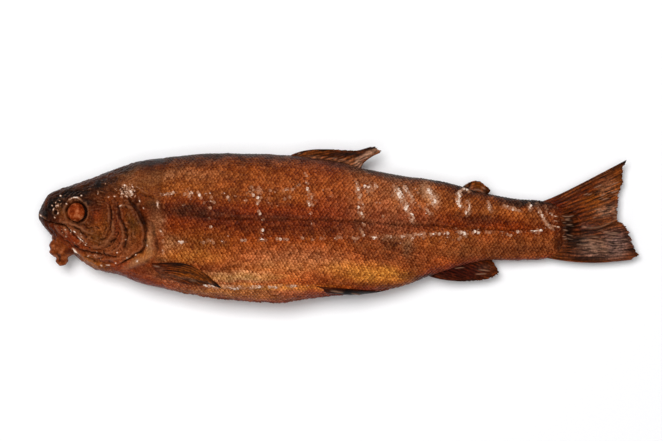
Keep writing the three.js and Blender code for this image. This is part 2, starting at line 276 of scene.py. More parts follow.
def along_curve(points, x, y, steps=48):
    """Each place's distance from a curve, positive to the left of its run, and its share along it."""
    curve = curve_through(points, steps)
    starts, runs = curve[:-1], np.diff(curve, axis=0)
    best, signed, share = np.full(x.shape, np.inf), np.zeros(x.shape), np.zeros(x.shape)
    for i, (start, run) in enumerate(zip(starts, runs)):
        dx, dy = x - start[0], y - start[1]
        t = np.clip((dx * run[0] + dy * run[1]) / (run @ run), 0, 1)
        distance = np.hypot(dx - t * run[0], dy - t * run[1])
        nearer = distance < best
        best = np.where(nearer, distance, best)
        side = np.where(run[0] * dy - run[1] * dx > 0, 1, -1)
        signed = np.where(nearer, side * distance, signed)
        share = np.where(nearer, (i + t) / len(runs), share)
    return signed, share


# Folds, ridges and the edges of bones on the head and shoulder. Each: half width, height (a groove's is
# negative), tone (above 0 for soot and painted shade in it, below 0 for a pale ridge, rubbed and lit with a
# painted highlight), and its run.
HEAD_LINES = [
    # mouth, lips and chin
    (0.7, -2.2, 1.0, [
        (-201.1, 6), (-198.3, 5), (-194.2, 3), (-190.6, 1.7), (-186.3, 0.7), (-182, -0.3), (-179.3, -2.6),
        (-176.6, -5), (-173.9, -7.6), (-170.8, -10.3),
    ]),
    (0.9, 0.9, -0.6, [(-199.3, 7.4), (-196.1, 5.3), (-192.7, 3)]),
    (0.9, -0.8, 0.7, [(-193.5, 1.7), (-192.3, -2), (-190.1, -5.3), (-188.4, -7.3)]),
    (0.7, 0.8, -0.5, [(-188.8, 0.3), (-187.1, -2), (-184.4, -5.3), (-181, -7.3)]),
    (0.6, -0.8, 0.8, [(-187.3, 1.7), (-184.9, -1.3), (-182.3, -5.3), (-178.2, -8.6)]),
    (0.7, 0.8, -0.7, [(-182.1, -1.3), (-181.1, -3.6), (-179.4, -5.6)]),
    (0.7, -0.9, 0.8, [(-185.3, -7.3), (-181.2, -10.3), (-177.9, -13), (-176.1, -18)]),
    # upper jaw bones
    (1.1, 1.3, -0.75, [
        (-184.8, 2.7), (-181.3, 1.7), (-177.8, 1.3), (-174.3, 0.2), (-170.9, -1.6), (-168.2, -3.6),
        (-165.4, -4.9), (-162.7, -5.3),
    ]),
    (0.7, -0.7, 0.8, [(-179.2, 4), (-176.4, 2.3), (-172.2, 1), (-168.1, 0.4)]),
    (0.6, -0.8, 0.8, [(-176.4, -0.6), (-172.3, -3), (-169.6, -5.3), (-166.9, -7.9)]),
    (1.2, 1.3, -0.35, [(-179.2, -0.6), (-175.1, -3.3), (-171.7, -5.9), (-168.3, -9.2), (-165.7, -12.2)]),
    (0.8, 0.6, -0.9, [(-170.8, -6.6), (-168.2, -9.2)]),
    (0.6, 0.7, -0.7, [(-166.3, -9.6), (-164.1, -7.2)]),
    (0.6, 0.7, -0.7, [(-165.5, -7.9), (-163.2, -10.2)]),
    # under the jaw, and the skin between the gill rays
    (0.9, -1.3, 0.9, [
        (-175.4, -14), (-171.6, -16.6), (-166.7, -17.9), (-161.2, -18.9), (-155.8, -19.8), (-149.8, -21.5),
    ]),
    (0.7, 0.6, -0.4, [(-166.1, -19.2), (-161.3, -20.5), (-158, -21.5)]),
    (0.8, 1.0, -0.8, [
        (-176.8, -15.7), (-175.1, -17), (-172.2, -18.3), (-170.2, -20), (-167.2, -22.3), (-163.9, -24.6),
        (-160, -27.3),
    ]),
    (0.6, 0.7, -0.5, [(-165, -22.3), (-160.5, -26.3)]),
    (0.6, -0.6, 0.7, [(-167.7, -20.6), (-163.6, -22.6), (-159, -25.2)]),
    (0.6, -0.5, 0.6, [(-157.5, -24.2), (-152, -25), (-147, -24.6)]),
    # brow, eye ring, snout
    (0.8, 0.8, 0.0, [(-178.1, 16.6), (-175.7, 17.7), (-173.3, 18.3), (-170.8, 17.4), (-169, 15.9)]),
    (1.2, 0.5, 0.35, [(-164, 12.6), (-162.6, 8), (-163.6, 3.3), (-167.4, 1), (-172.6, 0.7)]),
    (0.7, -0.7, 0.8, [(-168.1, -0.3), (-165.4, -2.2), (-162.3, -2)]),
    (0.8, 0.5, -0.2, [(-188.1, 16), (-184.6, 17), (-181, 17.6)]),
    (0.6, -0.4, 0.5, [(-191, 12.5), (-187.5, 14.3), (-184, 15.2), (-180.5, 14.8)]),
    (0.7, 0.4, -0.1, [(-184, 22.2), (-176.5, 24), (-168, 27.2)]),
    (0.6, -0.4, 0.5, [(-186, 19.3), (-179, 21.7), (-171, 22.3), (-163, 20)]),
    # folds of the cheek
    (0.6, -0.6, 0.7, [(-161.3, -0.3), (-158.2, -2.9)]),
    (0.7, -0.9, 0.9, [(-152, -12.8), (-149.3, -10.7), (-146.1, -8.9)]),
    (1.0, 0.8, -0.6, [
        (-164.3, -13.2), (-160.3, -14.9), (-156.1, -13.5), (-151.9, -9.9), (-149.1, -4.6), (-148.9, -0.6),
        (-149.4, 2.7),
    ]),
    (0.6, -0.7, 0.7, [
        (-167.2, -14.2), (-162.4, -16.5), (-156.9, -16.2), (-152.1, -14.2), (-148.6, -11.2), (-146.1, -7.2),
        (-145.3, -2.6),
    ]),
    (0.8, 0.7, -0.5, [
        (-155, -18.2), (-150.2, -17.8), (-146, -15.8), (-143.2, -11.8), (-142.2, -7.2), (-142.6, -2.6),
        (-144.3, 2),
    ]),
    (0.6, -0.8, 0.9, [(-156, -16.8), (-154.4, -20.2)]),
    (0.6, -0.6, 0.8, [(-153.8, -20.5), (-149, -21), (-144.9, -20.1)]),
    (0.7, 0.6, -0.5, [(-155.3, -22.5), (-149.8, -22.7), (-145, -21.5), (-141.4, -19.8)]),
    (0.6, -0.5, 0.5, [(-160.5, -7.2), (-156.5, -9.5), (-152.9, -7), (-151.9, -2)]),
    (0.6, 0.5, -0.3, [(-161, -10), (-157, -11.7), (-153.2, -9.5)]),
    (0.6, -0.5, 0.5, [(-159, -4), (-156, -5.7), (-154, -3.2), (-154.2, 1.5)]),
    (0.7, -0.7, 0.7, [(-151.1, 14.5), (-150.4, 9.3), (-150.2, 3.3), (-151.1, -2.6)]),
    (0.7, 0.6, -0.3, [(-152.4, 12.6), (-151.7, 7.3), (-152.1, 2)]),
    # gill cover
    (1.1, -1.1, 0.9, [
        (-146.4, 14.5), (-145.3, 10.6), (-144.4, 6.9), (-143.3, 3.3), (-141.8, 0.4), (-140.2, -2.9),
        (-139.6, -7.2), (-140.1, -11.1), (-141.2, -14.5), (-142.7, -17.1),
    ]),
    (0.8, 0.9, -0.8, [(-144.4, 10.6), (-143.8, 12.5), (-141.6, 13.2), (-138.5, 12.8), (-136.1, 11.2)]),
    (0.5, -0.5, 0.8, [(-134.1, -3.9), (-133.8, -7.2)]),
    (0.6, 0.5, -0.5, [(-137.5, -3.2), (-137.9, -7.8), (-139, -11.8)]),
    (0.6, 0.5, -0.5, [(-134.8, -2.6), (-135.5, -6.5), (-132.9, -9.1)]),
    # shoulder
    (0.8, 0.8, -0.7, [(-131.8, 18.4), (-131.1, 14.8), (-132.5, 11.5), (-131.7, 8.9)]),
    (0.8, -0.8, 0.8, [(-129.5, 20.7), (-126.8, 19.1), (-123.5, 18.4), (-120.8, 17.1)]),
    (0.7, 0.7, -0.7, [(-131, 24), (-128.2, 22), (-125.5, 20.2)]),
    (1.0, -0.9, 0.75, [
        (-125.7, 4.3), (-123.7, 2.3), (-122.2, -0.6), (-121.5, -4.5), (-120.5, -8.8), (-119.3, -13.7),
        (-120.1, -18.7), (-122.8, -21.6),
    ]),
    (2.2, 1.3, -0.75, [
        (-125.1, -3.2), (-124.2, -8.5), (-123.6, -13.7), (-124, -18), (-126.5, -21.3), (-130.6, -23.7),
        (-136.3, -26.4), (-143.5, -28.5),
    ]),
]

# The free edge of the gill cover, and the line of pores along the flank.
GILL_SLIT = [
    (-138.6, 16.8), (-136.5, 14.2), (-134.1, 11.2), (-132, 7.9), (-130.7, 4.6), (-129, 1.7), (-127.7, -1.3),
    (-127.2, -4.5), (-127.1, -8.5), (-127.5, -11.8), (-128.3, -14.9), (-130, -17), (-133.1, -19),
    (-136.7, -21.4), (-139.5, -23.1), (-142.4, -24.4), (-145.3, -26.2),
]
LATERAL_LINE = [
    (-120, 8.0), (-95, 6.1), (-75, 3.6), (-46, 3.3), (-5, 2.7), (11, 2.2), (32, 0.2), (68, -1.3),
    (82, -2.6), (125, -3.9), (147, -4.0),
]

# The rack's marks: broken, shiny dashes where its wires lay, 34 mm apart each way, and a little askew, each
# with a painted highlight.
RACK_DASHES = {
    "nape": [
        [(-142.7, 26.4), (-140.3, 25.4)], [(-142.8, 21.1), (-142.9, 19.1)],
        [(-140.4, 22.1), (-138.4, 21.1)], [(-138.1, 23.1), (-136.3, 20.4), (-137.6, 18.8)],
        [(-134.7, 18.1), (-133.7, 19.4)], [(-140.7, 19.4), (-138.6, 18.1)],
        [(-152.6, 18.2), (-151.4, 18.6)], [(-148.6, 18.9), (-146.8, 18.8)],
    ],
    "upper wire": [
        [(-116.6, 20), (-112.3, 19.9), (-109, 20.6), (-107.5, 21)], [(-102.4, 20.3), (-101, 20.3)],
        [(-98.7, 17.7), (-98.5, 20.3), (-96.5, 22), (-96.1, 19.7)],
        [(-92.9, 22.6), (-91.6, 20.3), (-90.9, 17.1)], [(-88.2, 20.7), (-86.6, 21)],
        [(-84.4, 21.6), (-84, 20.3)], [(-75.1, 21), (-74.2, 21)], [(-67.9, 19.3), (-67.3, 18.4)],
        [(-59.8, 19), (-58.8, 19.2)], [(-58.2, 23.9), (-55.9, 23)], [(-44.8, 23.6), (-44.6, 22.3)],
        [(-36.3, 22.6), (-33.3, 23.8)], [(-31, 23.4), (-28.4, 24.3)], [(-21.9, 24), (-19.9, 23.7)],
        [(-8.1, 23.9), (-6.5, 24)],
    ],
    "middle wire": [
        [(-106.3, -11.1), (-101, -11.1)], [(-90.5, -11.4), (-87.6, -10.9)],
        [(-85.9, -10.4), (-82.6, -11.1)], [(-77.4, -10.2), (-74.8, -10.7)], [(-64.3, -10.1), (-60.7, -9.9)],
        [(-52.5, -9.1), (-47.3, -9.4)], [(-40.8, -8.8), (-37.8, -8.9)], [(-36.5, -9.1), (-33.6, -9)],
        [(-25.1, -7.8), (-22.2, -8.3)], [(-12.4, -8.5), (-9.1, -8.5)], [(-2.9, -8.6), (1.7, -8.5)],
        [(9, -8.2), (14.2, -8.4)], [(20.8, -7.9), (26.8, -8.1)], [(30.8, -7.7), (35.4, -7.4)],
        [(40.1, -7.6), (44.7, -7.1)], [(49.4, -6.6), (56.8, -6.3)], [(60.8, -6.1), (64.8, -5.3)],
        [(66.8, -6), (68.5, -4.6)], [(70.2, -5.6), (72.2, -5)], [(77.6, -5.2), (83, -4.8)],
        [(88.4, -5), (94.4, -4.5)], [(98.5, -4.7), (102.6, -4.5)], [(108, -4.3), (110, -4.3)],
        [(118.1, -4.2), (121.5, -4.4)], [(128.3, -4), (135.8, -3.8)],
    ],
    "lower wire": [
        [(-91.2, -38.6), (-86, -39.9), (-79.4, -41.6)], [(-72.1, -41.1), (-64.8, -40.8)],
        [(-60.9, -41), (-54.3, -40.8)], [(-46.3, -40.7), (-39.1, -40.3)], [(-33.2, -40.7), (-27.2, -40.1)],
        [(-21.3, -39.9), (-19.4, -40.6)],
    ],
    "first cross wire": [
        [(-119.1, 15.8), (-118.4, 11.2)], [(-116.1, 4), (-115.5, 1.4)], [(-117.5, -2.6), (-116.2, -6.5)],
        [(-115.7, -8.8), (-115.6, -11.1)], [(-115.7, -16.4), (-115.3, -19)],
    ],
    "second cross wire": [
        [(-86.5, 11.8), (-84.5, 10.8)], [(-84.6, 16.1), (-82, 15.1)], [(-84.7, 5.9), (-84.3, 4)],
        [(-84.5, 0.1), (-83.9, -2.6)],
    ],
    "third cross wire": [
        [(-53.3, 24.9), (-52.9, 21)], [(-53, 19), (-53.2, 15.1), (-54, 13.1)],
        [(-52.5, 10.5), (-52.1, 6.6)], [(-50.2, 4), (-49.6, 3)], [(-51, -2.6), (-49.7, -6.5)],
    ],
    "fourth cross wire": [
        [(-22.1, 34.9), (-21.1, 32.3)], [(-21.8, 28.6), (-20.4, 26.3)], [(-21, 24.3), (-19.4, 21.7)],
        [(-17.9, 19.1), (-17.3, 17.1)], [(-20.2, 16.4), (-19.7, 11.5)], [(-18.2, 15.1), (-16.6, 12.5)],
        [(-19, 7.9), (-18.7, 5.9)], [(-18.4, 2.3), (-17.6, 0.1)], [(-17.3, -8.8), (-16.9, -10.8)],
    ],
    "fifth cross wire": [
        [(10.9, 29.4), (12, 26.7), (13.8, 22.8)], [(11.2, 23.4), (13.1, 20.1), (15.1, 16.5)],
        [(15.8, 14.8), (16.1, 12.9)], [(12.9, 12.5), (13.1, 9.9)], [(15.9, 11.5), (16, 10.2)],
        [(13, 9.2), (14.8, 6.3)], [(15.5, 7.6), (15.9, 4.6)], [(15.5, 1.7), (16.5, -0.6)],
        [(13.9, -1.6), (15.9, -5.2)],
    ],
    "sixth cross wire": [
        [(36.3, 25.9), (38.2, 22.5), (39.8, 18.5), (41.1, 15.2), (42.7, 12.3), (44.7, 9.3), (46.1, 6.6)],
        [(42.3, 26.9), (44.2, 23.2), (46.8, 19.2), (49.1, 13.9)], [(47.1, 7.3), (48.7, 6)],
        [(47, 3.3), (49, 1)], [(50.6, -7.3), (48.1, -10.6)],
    ],
    "seventh cross wire": [
        [(80.9, 23.4), (78.6, 19.3), (79.4, 14), (80.3, 10.7)], [(84.6, 16.7), (85.9, 14.7)],
        [(84.1, 11.3), (85, 6.7)], [(77.9, -4.6), (80.3, -5.6)], [(79.6, -7.3), (80.6, -9.3)],
        [(83, -4.3), (84, -6)], [(84.9, -4.7), (84.5, -8)], [(81, -12), (82.1, -13.3)],
    ],
}

# A dash's greatest half width, its least, and how much it gains on that with each millimetre of its run.
DASH_HALF, DASH_LEAST, DASH_GROWTH = 0.75, 0.3, 0.09
WIRE_HALF, WIRE_DEPTH = 1.5, 0.35  # of the groove that a wire pressed
DASH_RISE, FOLD_RISE, GLINT_RISE = 0.35, 0.55, 0.35  # how far each kind of shiny crest stands up
GLINT_REACH = 1.2  # how far a tiny glint runs, at most, along X and along Y

# Loose skin that has dried in slanting folds over the rear of the back, each a shiny streak with a painted
# highlight. Each: half width, and its run from the top.
SKIN_FOLDS = [
    (1.1, [(18.3, 24.4), (19.2, 21.1)]),
    (1.0, [(19.9, 23.1), (20.3, 27.1)]),
    (1.0, [(23.9, 27.1), (24.6, 24.1)]),
    (0.6, [(11.2, 29.4), (12.5, 24), (15.2, 18)]),
    (2.6, [(36.5, 25.4), (40.5, 19.3), (43.2, 14.7)]),
    (1.0, [(43.2, 14.7), (46.5, 8.7), (49.9, 1.3)]),
    (1.0, [(42.5, 27.4), (46.5, 21.4), (49.9, 14.7)]),
    (2.8, [(56.5, 26), (61.2, 20), (65.2, 12)]),
    (1.0, [(57.2, 13.3), (61.2, 6)]),
    (1.1, [(81.9, 24), (80.2, 18), (81.2, 10.7)]),
    (0.7, [(82.6, 24.7), (87.2, 22.4)]),
    (0.7, [(83.9, 16), (87.2, 12), (85.2, 6)]),
    (1.1, [(99.2, 16), (100.2, 12), (101.9, 8)]),
    (1.0, [(109, 13), (115.9, 11), (121.3, 9.3)]),
    (1.2, [(127.3, 14.7), (127.9, 8.7)]),
    (1.2, [(131.9, 14.7), (133.9, 10), (136.6, 4.7), (139.9, 0), (144, -2.7)]),
    (0.8, [(137.9, 12), (139.3, 7.3)]),
    (0.5, [(140.5, 8.5), (143.5, 6.2), (147, 5.4)]),
    (0.5, [(143, 3), (147.4, 2.2)]),
    (0.4, [(144.5, -0.5), (148, -1.6)]),
    (0.8, [(-91, -38.4), (-86, -39.7), (-79.4, -41)]),
    (0.9, [(-77, -40.7), (-70, -41.1), (-62, -40.9)]),
    (0.8, [(-58, -41), (-50, -40.8)]),
    (0.8, [(-47, -40.6), (-38, -40.2)]),
    (0.6, [(-35, -40.4), (-31, -40.1)]),
]

# Painted highlights: small, bright glints of oil on the head. Each: half width and run.
HEAD_GLINTS = [
    (0.5, [(-178.6, 16.3), (-176.2, 17.6), (-173, 17.9), (-170.6, 16.6)]),
    (0.5, [(-185.2, 19.4), (-184.2, 19.7)]), (0.4, [(-170.6, 19.2), (-169.8, 19.6)]),
    (0.4, [(-180.4, 14.3), (-179.8, 13.7)]), (0.5, [(-189.5, 9.5), (-188.7, 11)]),
    (0.45, [(-187.4, 12.2), (-185.8, 13.8)]), (0.4, [(-190.5, 13.4), (-189.9, 12.6)]),
    (0.4, [(-186.2, 7.2), (-185.4, 8.4)]), (0.5, [(-199.6, 6.9), (-197.2, 5.6)]),
    (0.5, [(-157.8, -26.2), (-156.8, -27.2)]), (0.5, [(-154.4, -26.6), (-151.4, -26.4)]),
    (0.5, [(-147.8, -25.2), (-147, -24.8)]), (0.5, [(-139.8, -21.6), (-138.8, -21)]),
    (0.5, [(-134.6, -20.3), (-133.6, -19.7)]), (0.9, [(-133.6, -23.6), (-132, -23.2)]),
    (0.4, [(-146.6, -18.2), (-145.8, -18)]), (0.4, [(-141, -9.8), (-140.4, -9.4)]),
    (0.5, [(-171.4, -9.4), (-170.8, -10.2)]), (0.45, [(-168, -12.8), (-167, -13.4)]),
    (0.4, [(-181, -2.6), (-180.2, -3.4)]), (0.4, [(-175, -3.6), (-173.4, -5)]),
    (0.4, [(-128.6, 11.6), (-128, 10.6)]), (0.4, [(-131.2, 16.2), (-130.6, 15.2)]),
    (0.5, [(-126.2, -12.6), (-125.8, -14.4)]), (0.45, [(-144.4, 12.2), (-142.4, 13.3)]),
    (0.6, [(-176.8, -15.4), (-174.5, -17), (-171.5, -19.2)]),
    (0.5, [(-172.6, -6.8), (-170.4, -9.6), (-168.2, -11.6)]),
]

# Clusters of tiny painted highlights, glints of oil, mostly where the skin touched a wire of the rack. Each:
# how many, centre, spread.
GLINT_CLUSTERS = [
    (85, (-139.4, 22.4), (4.6, 3.0)), (12, (-99.9, 21), (1.6, 2.2)), (5, (-87.6, 14), (2.4, 2.2)),
    (10, (-112, 21), (5, 1)), (26, (-54.9, 22), (6, 4)), (16, (-33.5, 23.7), (4.5, 1.2)),
    (20, (-19.5, 18.5), (2, 5)), (28, (20.5, 24.7), (3.2, 3.6)), (14, (15.3, 11), (1.2, 6)),
    (18, (47.2, 6), (2.4, 3.4)), (14, (49.2, -6), (4, 3)), (16, (68.9, -6), (3.2, 2.2)),
    (20, (81.9, -6), (4, 2.6)), (6, (93.2, -4.7), (2, 1.4)), (22, (111.3, -6), (6, 2.4)),
    (10, (132.6, -6), (2, 2)), (14, (140.6, -1.3), (4, 2)), (60, (50, 14), (16, 9)),
    (60, (-20, 18), (70, 8)), (40, (20, -9), (90, 3)), (7, (-187, 12), (4, 4)), (12, (-179, -4), (5, 3)),
    (12, (-172, -11), (5, 3)), (8, (-162, -22), (6, 3)), (10, (-150, 24), (14, 4)),
]

# Stains of the skin: x, y, half length, half height, tilt in degrees, strength.
STAINS = {
    "pale": [
        (45, -14, 3, 8, 0, 0.35), (-120, 0, 5, 16, 0, 0.35), (35, -9, 8, 3, 0, 0.3),
        (-140, 33, 12, 4, 22, 0.3), (-140, -16, 10, 8, 30, 0.2), (-118, -18, 5, 12, 0, 0.3),
        (-30, -24, 36, 9, 0, 0.2), (15, 32, 12, 8, -20, 0.1), (30, 10, 30, 22, 0, 0.15),
        (-112, -34, 26, 5, -12, 0.4), (-65, -44, 40, 5, 0, 0.35), (-66, -34, 24, 4, 0, 0.75),
        (-122, -6, 4, 14, 5, 0.4), (-112, -12, 9, 6, 0, 0.3), (-130, 30, 30, 5, 12, 0.25),
        (-95, 33, 18, 4, 0, 0.12), (60, 20, 8, 5, -60, 0.45), (39, 21, 5, 6, -60, 0.3),
        (-76, -40, 10, 2.5, -10, 0.5), (-124.5, -12, 2.6, 10, 0, 0.7), (-133, -24.5, 9, 2.2, 22, 0.7),
        (-176, -2.6, 9, 2.0, -38, 0.35), (-150, -12, 10, 6, 40, 0.25), (-184, 12, 1.4, 2.6, 0, 0.6),
    ],
    "gold": [
        (-98, -21, 24, 5, 0, 0.25), (-40, -28, 34, 5, 0, 0.15), (-70, -45, 34, 3, -4, 0.3),
        (24, -32.5, 28, 6.5, -6, 0.55), (6, -29, 20, 5, 0, 0.35), (-62, -34, 32, 2.5, 0, 0.35),
        (-45, -41, 40, 2, 0, 0.35), (121, -14, 30, 6, 2, 0.15), (-128, -20, 8, 3, 20, 0.3),
        (-163, -25, 10, 3, -22, 0.4),
    ],
    "brown": [
        (146, -2, 7, 20, 0, 0.3), (-165, 2, 40, 30, 0, 0.85), (-128, 22, 10, 8, 0, 0.3),
        (-125, -30, 14, 3, -12, 0.4), (50, -24, 20, 8, -25, 0.6), (112, -18, 48, 5.5, 2, 0.8),
        (140, 4, 16, 16, 0, 0.5),
    ],
    "olive": [
        (75, -12, 24, 9, 0, 0.3), (-95, -12, 26, 9, 0, 0.35), (-135, 2, 5.5, 12, 12, 0.5),
        (-137.5, 9, 4, 4, 0, 0.3), (-124, 13, 5, 5, 0, 0.6), (-160, -9, 9, 4, -30, 0.35),
        (-104, 24, 22, 7, 5, 0.2), (-124, 26, 10, 5, 10, 0.3),
    ],
    "orange": [(-184.5, 10.5, 2.6, 4.6, 20, 0.8), (-163, -25, 10, 3.5, -22, 0.5), (-158, 0, 6, 8, 0, 0.35)],
    "red": [
        (118, -13, 30, 6, 0, 0.25), (-120, -28, 11, 4, -22, 0.5), (-100, -37, 14, 3, -12, 0.4),
        (62, -35, 12, 4, 10, 0.9), (15, -46, 14, 3, 0, 0.5), (61, -34, 12, 4, 10, 0.8),
        (45, 8, 14, 9, 0, 0.4), (-10, 33, 24, 10, 0, 0.3), (-100, 14, 22, 6, 0, 0.3),
        (27, 10, 10, 14, 0, 0.45), (64, -34, 12, 5, 10, 0.6), (-118, -36, 22, 6, -14, 0.4),
        (150, 10, 12, 8, 20, 0.5), (-60, 8, 75, 6.5, -2, 0.4), (-2, 14, 18, 16, 0, 0.5),
        (-187, -3, 12, 4, -45, 0.6), (-177, -10, 9, 5, -40, 0.6), (-160, 7, 4, 7, 10, 0.5),
        (-145, -5, 3, 12, 10, 0.35), (-118, -12, 3, 8, 0, 0.5), (-134, -30, 16, 4, -14, 0.6),
        (-25, 26, 60, 6, 0, 0.2), (-50, -46, 60, 3, 0, 0.4), (-110, -37, 20, 3, -14, 0.5),
    ],
    # Among the smoke spots, those at about (-90, -27), under the breast fin's upper edge, are painted shadow
    # of the fin, and those near (-134.5, 15.5), (-128.5, 2.5) and (-127, -1.5) are painted shade in the top
    # of the gill slit.
    "smoke": [
        (-90, -28, 14, 3.2, -22, 0.5), (-62, -27, 7, 3, 0, 0.3), (18, -14, 16, 3, 0, 0.3),
        (38, -26, 8, 4, -30, 0.35), (86, -21.5, 12, 3, 0, 0.4), (87, 14, 7, 7, 0, 0.35),
        (138, 11, 12, 5, 0, 0.4), (-146, 20, 4, 6, 0, 0.3), (-180, 9, 8, 6, 0, 0.35),
        (125, -13, 34, 8, 0, 0.45), (80, 22, 14, 8, -10, 0.5), (20, -40, 38, 3, -4, 0.5),
        (48, -35, 8, 6, -30, 0.5), (-176, 10, 12, 8, 10, 0.4), (-60, -35, 20, 2.5, 0, 0.3),
        (24, -22, 24, 3.6, -32, 0.5), (-117, 38, 30, 6, 8, 0.5), (-85, 4, 26, 9, 0, 0.5),
        (-60, -27, 30, 3, 0, 0.3), (-194, 4, 9, 9, 0, 0.6), (-150, 26, 16, 6, 22, 0.4),
        (-96, 9.0, 28, 5.5, -3, 0.85), (-84, 14, 5, 4, 0, 0.6), (-60, 5.0, 60, 3.5, -2, 0.55),
        (-25, -3, 85, 6, -2, 0.5), (41, -14.5, 17, 6.5, -20, 0.6), (153, -1, 5, 12, 0, 0.5),
        (-119, 13, 3, 9, 0, 0.3), (-110, -24.5, 20, 2, -3, 0.6), (-94, -40, 8, 5, -10, 0.3),
        (148, -12, 7, 7, 0, 0.6), (31, -20, 16, 3.5, -34, 0.4), (92, 3.0, 16, 5, -3, 0.6),
        (-134.5, 15.5, 4, 4, -40, 0.7), (-128.5, 2.5, 3, 4.5, 35, 0.7), (-127, -1.5, 2.5, 3, 0, 0.4),
        (-147, 8, 3, 9, 5, 0.35), (52, 1.0, 40, 3, -2, 0.35), (-76, 20, 12, 3, 0, 0.25),
        (-117, -23, 6, 2, 0, 0.6), (-115, -30, 20, 4, -12, 0.4), (150, 14, 12, 8, 20, 0.75),
        (-139.4, 22, 7, 4.5, -10, 0.8), (-164, 16, 8, 5, -20, 0.8), (-152, 22, 14, 4, 12, 0.7),
        (-190, -4, 8, 5, -45, 0.6), (-163, 3, 3, 8, 10, 0.5), (-90, -26.5, 16, 2.2, -10, 0.5),
        (151, -5, 8, 22, 0, 0.45),
    ],
    # The char spot at (-173.6, -14), by the corner of the mouth, is painted shade in a pit there.
    "char_and_painted_shade": [
        (150, -14, 5, 9, 0, 0.7), (-173.6, -14, 2, 1.3, -20, 0.9), (152, -2, 4, 10, 0, 0.7),
        (-179, 20, 10, 3, 25, 0.4), (60, -35.5, 10, 2.6, 10, 0.9), (128, 15, 26, 3, 4, 0.9),
        (60, 30.5, 40, 2.4, -10, 0.5), (-198, 6, 5, 8, 0, 0.8), (-189, 13, 10, 8, 40, 1.0),
        (-176, 21, 18, 5.5, 14, 1.0), (-157, 27.5, 15, 4.5, 24, 1.0), (-142, 35.5, 14, 2.6, 22, 0.7),
        (-122, 41, 16, 2.6, 12, 0.7), (-196, 9, 5, 8, 0, 1.0), (-189.5, 9.5, 4, 5, 0, 0.85),
        (-199, 3, 4, 4, -50, 0.7), (-168, 16.5, 7, 3.4, -30, 0.8), (-183, 17, 10, 5, 30, 0.9),
        (-192, 8, 5, 6, 0, 0.8), (80, 27.5, 60, 1.6, -8, 0.6), (140, 19, 16, 2.2, -3, 0.8),
    ],
}

HEAD_REAR, BODY_FRONT = -117.0, -118.5  # the two lengths of skin overlap between these
HEAD_RINGS, HEAD_POINTS = 250, (290, 100)  # points on the left and the right flank
BODY_RINGS, BODY_POINTS = 330, (220, 70)
SNOUT_CLOSER = 1.2  # above 1, the head's rings lie closer together at the snout
FINE_STEPS = 600  # along half a section, before its points are spread evenly


def body_rings(xs, counts):
    """The plain body's points as (ring, place round it), with each point's distance round from the back."""
    rings, girths = [], []
    for x, line, back, belly, half, middle in zip(xs, *section(xs)):
        ring, girth = [], []
        for power, up, count in ((LEFT_POWER, 1, counts[0]), (RIGHT_POWER, -1, counts[1])):
            angle = np.linspace(0, np.pi, FINE_STEPS)
            c, s = np.cos(angle), np.sin(angle)
            y = np.where(c > 0, back, belly) * np.sign(c) * np.abs(c) ** power
            z = up * half * s**power
            run = np.r_[0, np.cumsum(np.hypot(np.diff(y), np.diff(z)))]
            even = np.linspace(0, run[-1], count, endpoint=False)
            if up < 0:
                even = run[-1] - even
            up_fish, across = line + np.interp(even, run, y), middle + np.interp(even, run, z)
            ring.append(np.c_[np.full(count, x), up_fish, across])
            girth.append(even)
        rings.append(np.concatenate(ring))
        girths.append(np.concatenate(girth))
    return np.array(rings), np.array(girths)


def ring_normals(points):
    """Outward normals of rings of points."""
    along = np.gradient(points, axis=0)
    round_ = np.roll(points, -1, axis=1) - np.roll(points, 1, axis=1)
    normals = np.cross(round_, along)
    normals /= np.maximum(np.linalg.norm(normals, axis=-1, keepdims=True), 1e-9)
    outward = np.sum(normals * (points - points.mean(axis=1, keepdims=True)), axis=-1).mean()
    return normals if outward > 0 else -normals


def drawn(lines, x, y):
    """The height of drawn lines at each place, how dark with soot and painted shade they leave the skin, and
    how pale with rubbing and painted highlight.
    """
    height, soot_and_painted_shade, rub_and_painted_highlight = np.zeros(x.shape), np.zeros(x.shape), np.zeros(x.shape)
    for half, rise, tone, run in lines:
        low, high = np.min(run, axis=0) - 3 * half, np.max(run, axis=0) + 3 * half
        near = (x > low[0]) & (x < high[0]) & (y > low[1]) & (y < high[1])
        off, share = along_curve(run, x[near], y[near], 24)
        mark = taper(share) * bump(off, half)
        height[near] += rise * mark
        soot_and_painted_shade[near] = np.maximum(soot_and_painted_shade[near], tone * mark)
        rub_and_painted_highlight[near] = np.maximum(rub_and_painted_highlight[near], -tone * mark)
    return height, soot_and_painted_shade, rub_and_painted_highlight


SOCKET_DEPTH, SOCKET_RIM = 2.6, 0.5
NOSTRILS = [(-187.7, 8.4, 1.2), (-186.4, 13.0, 0.7)]  # x, y and size of each
GILL_LIP, GILL_DEPTH, GILL_HOLLOW = 1.0, 1.8, 0.5  # the cover's edge, its slit, and the skin by it
LATERAL_RIDGE, LATERAL_DEPTH = 0.25, 0.55


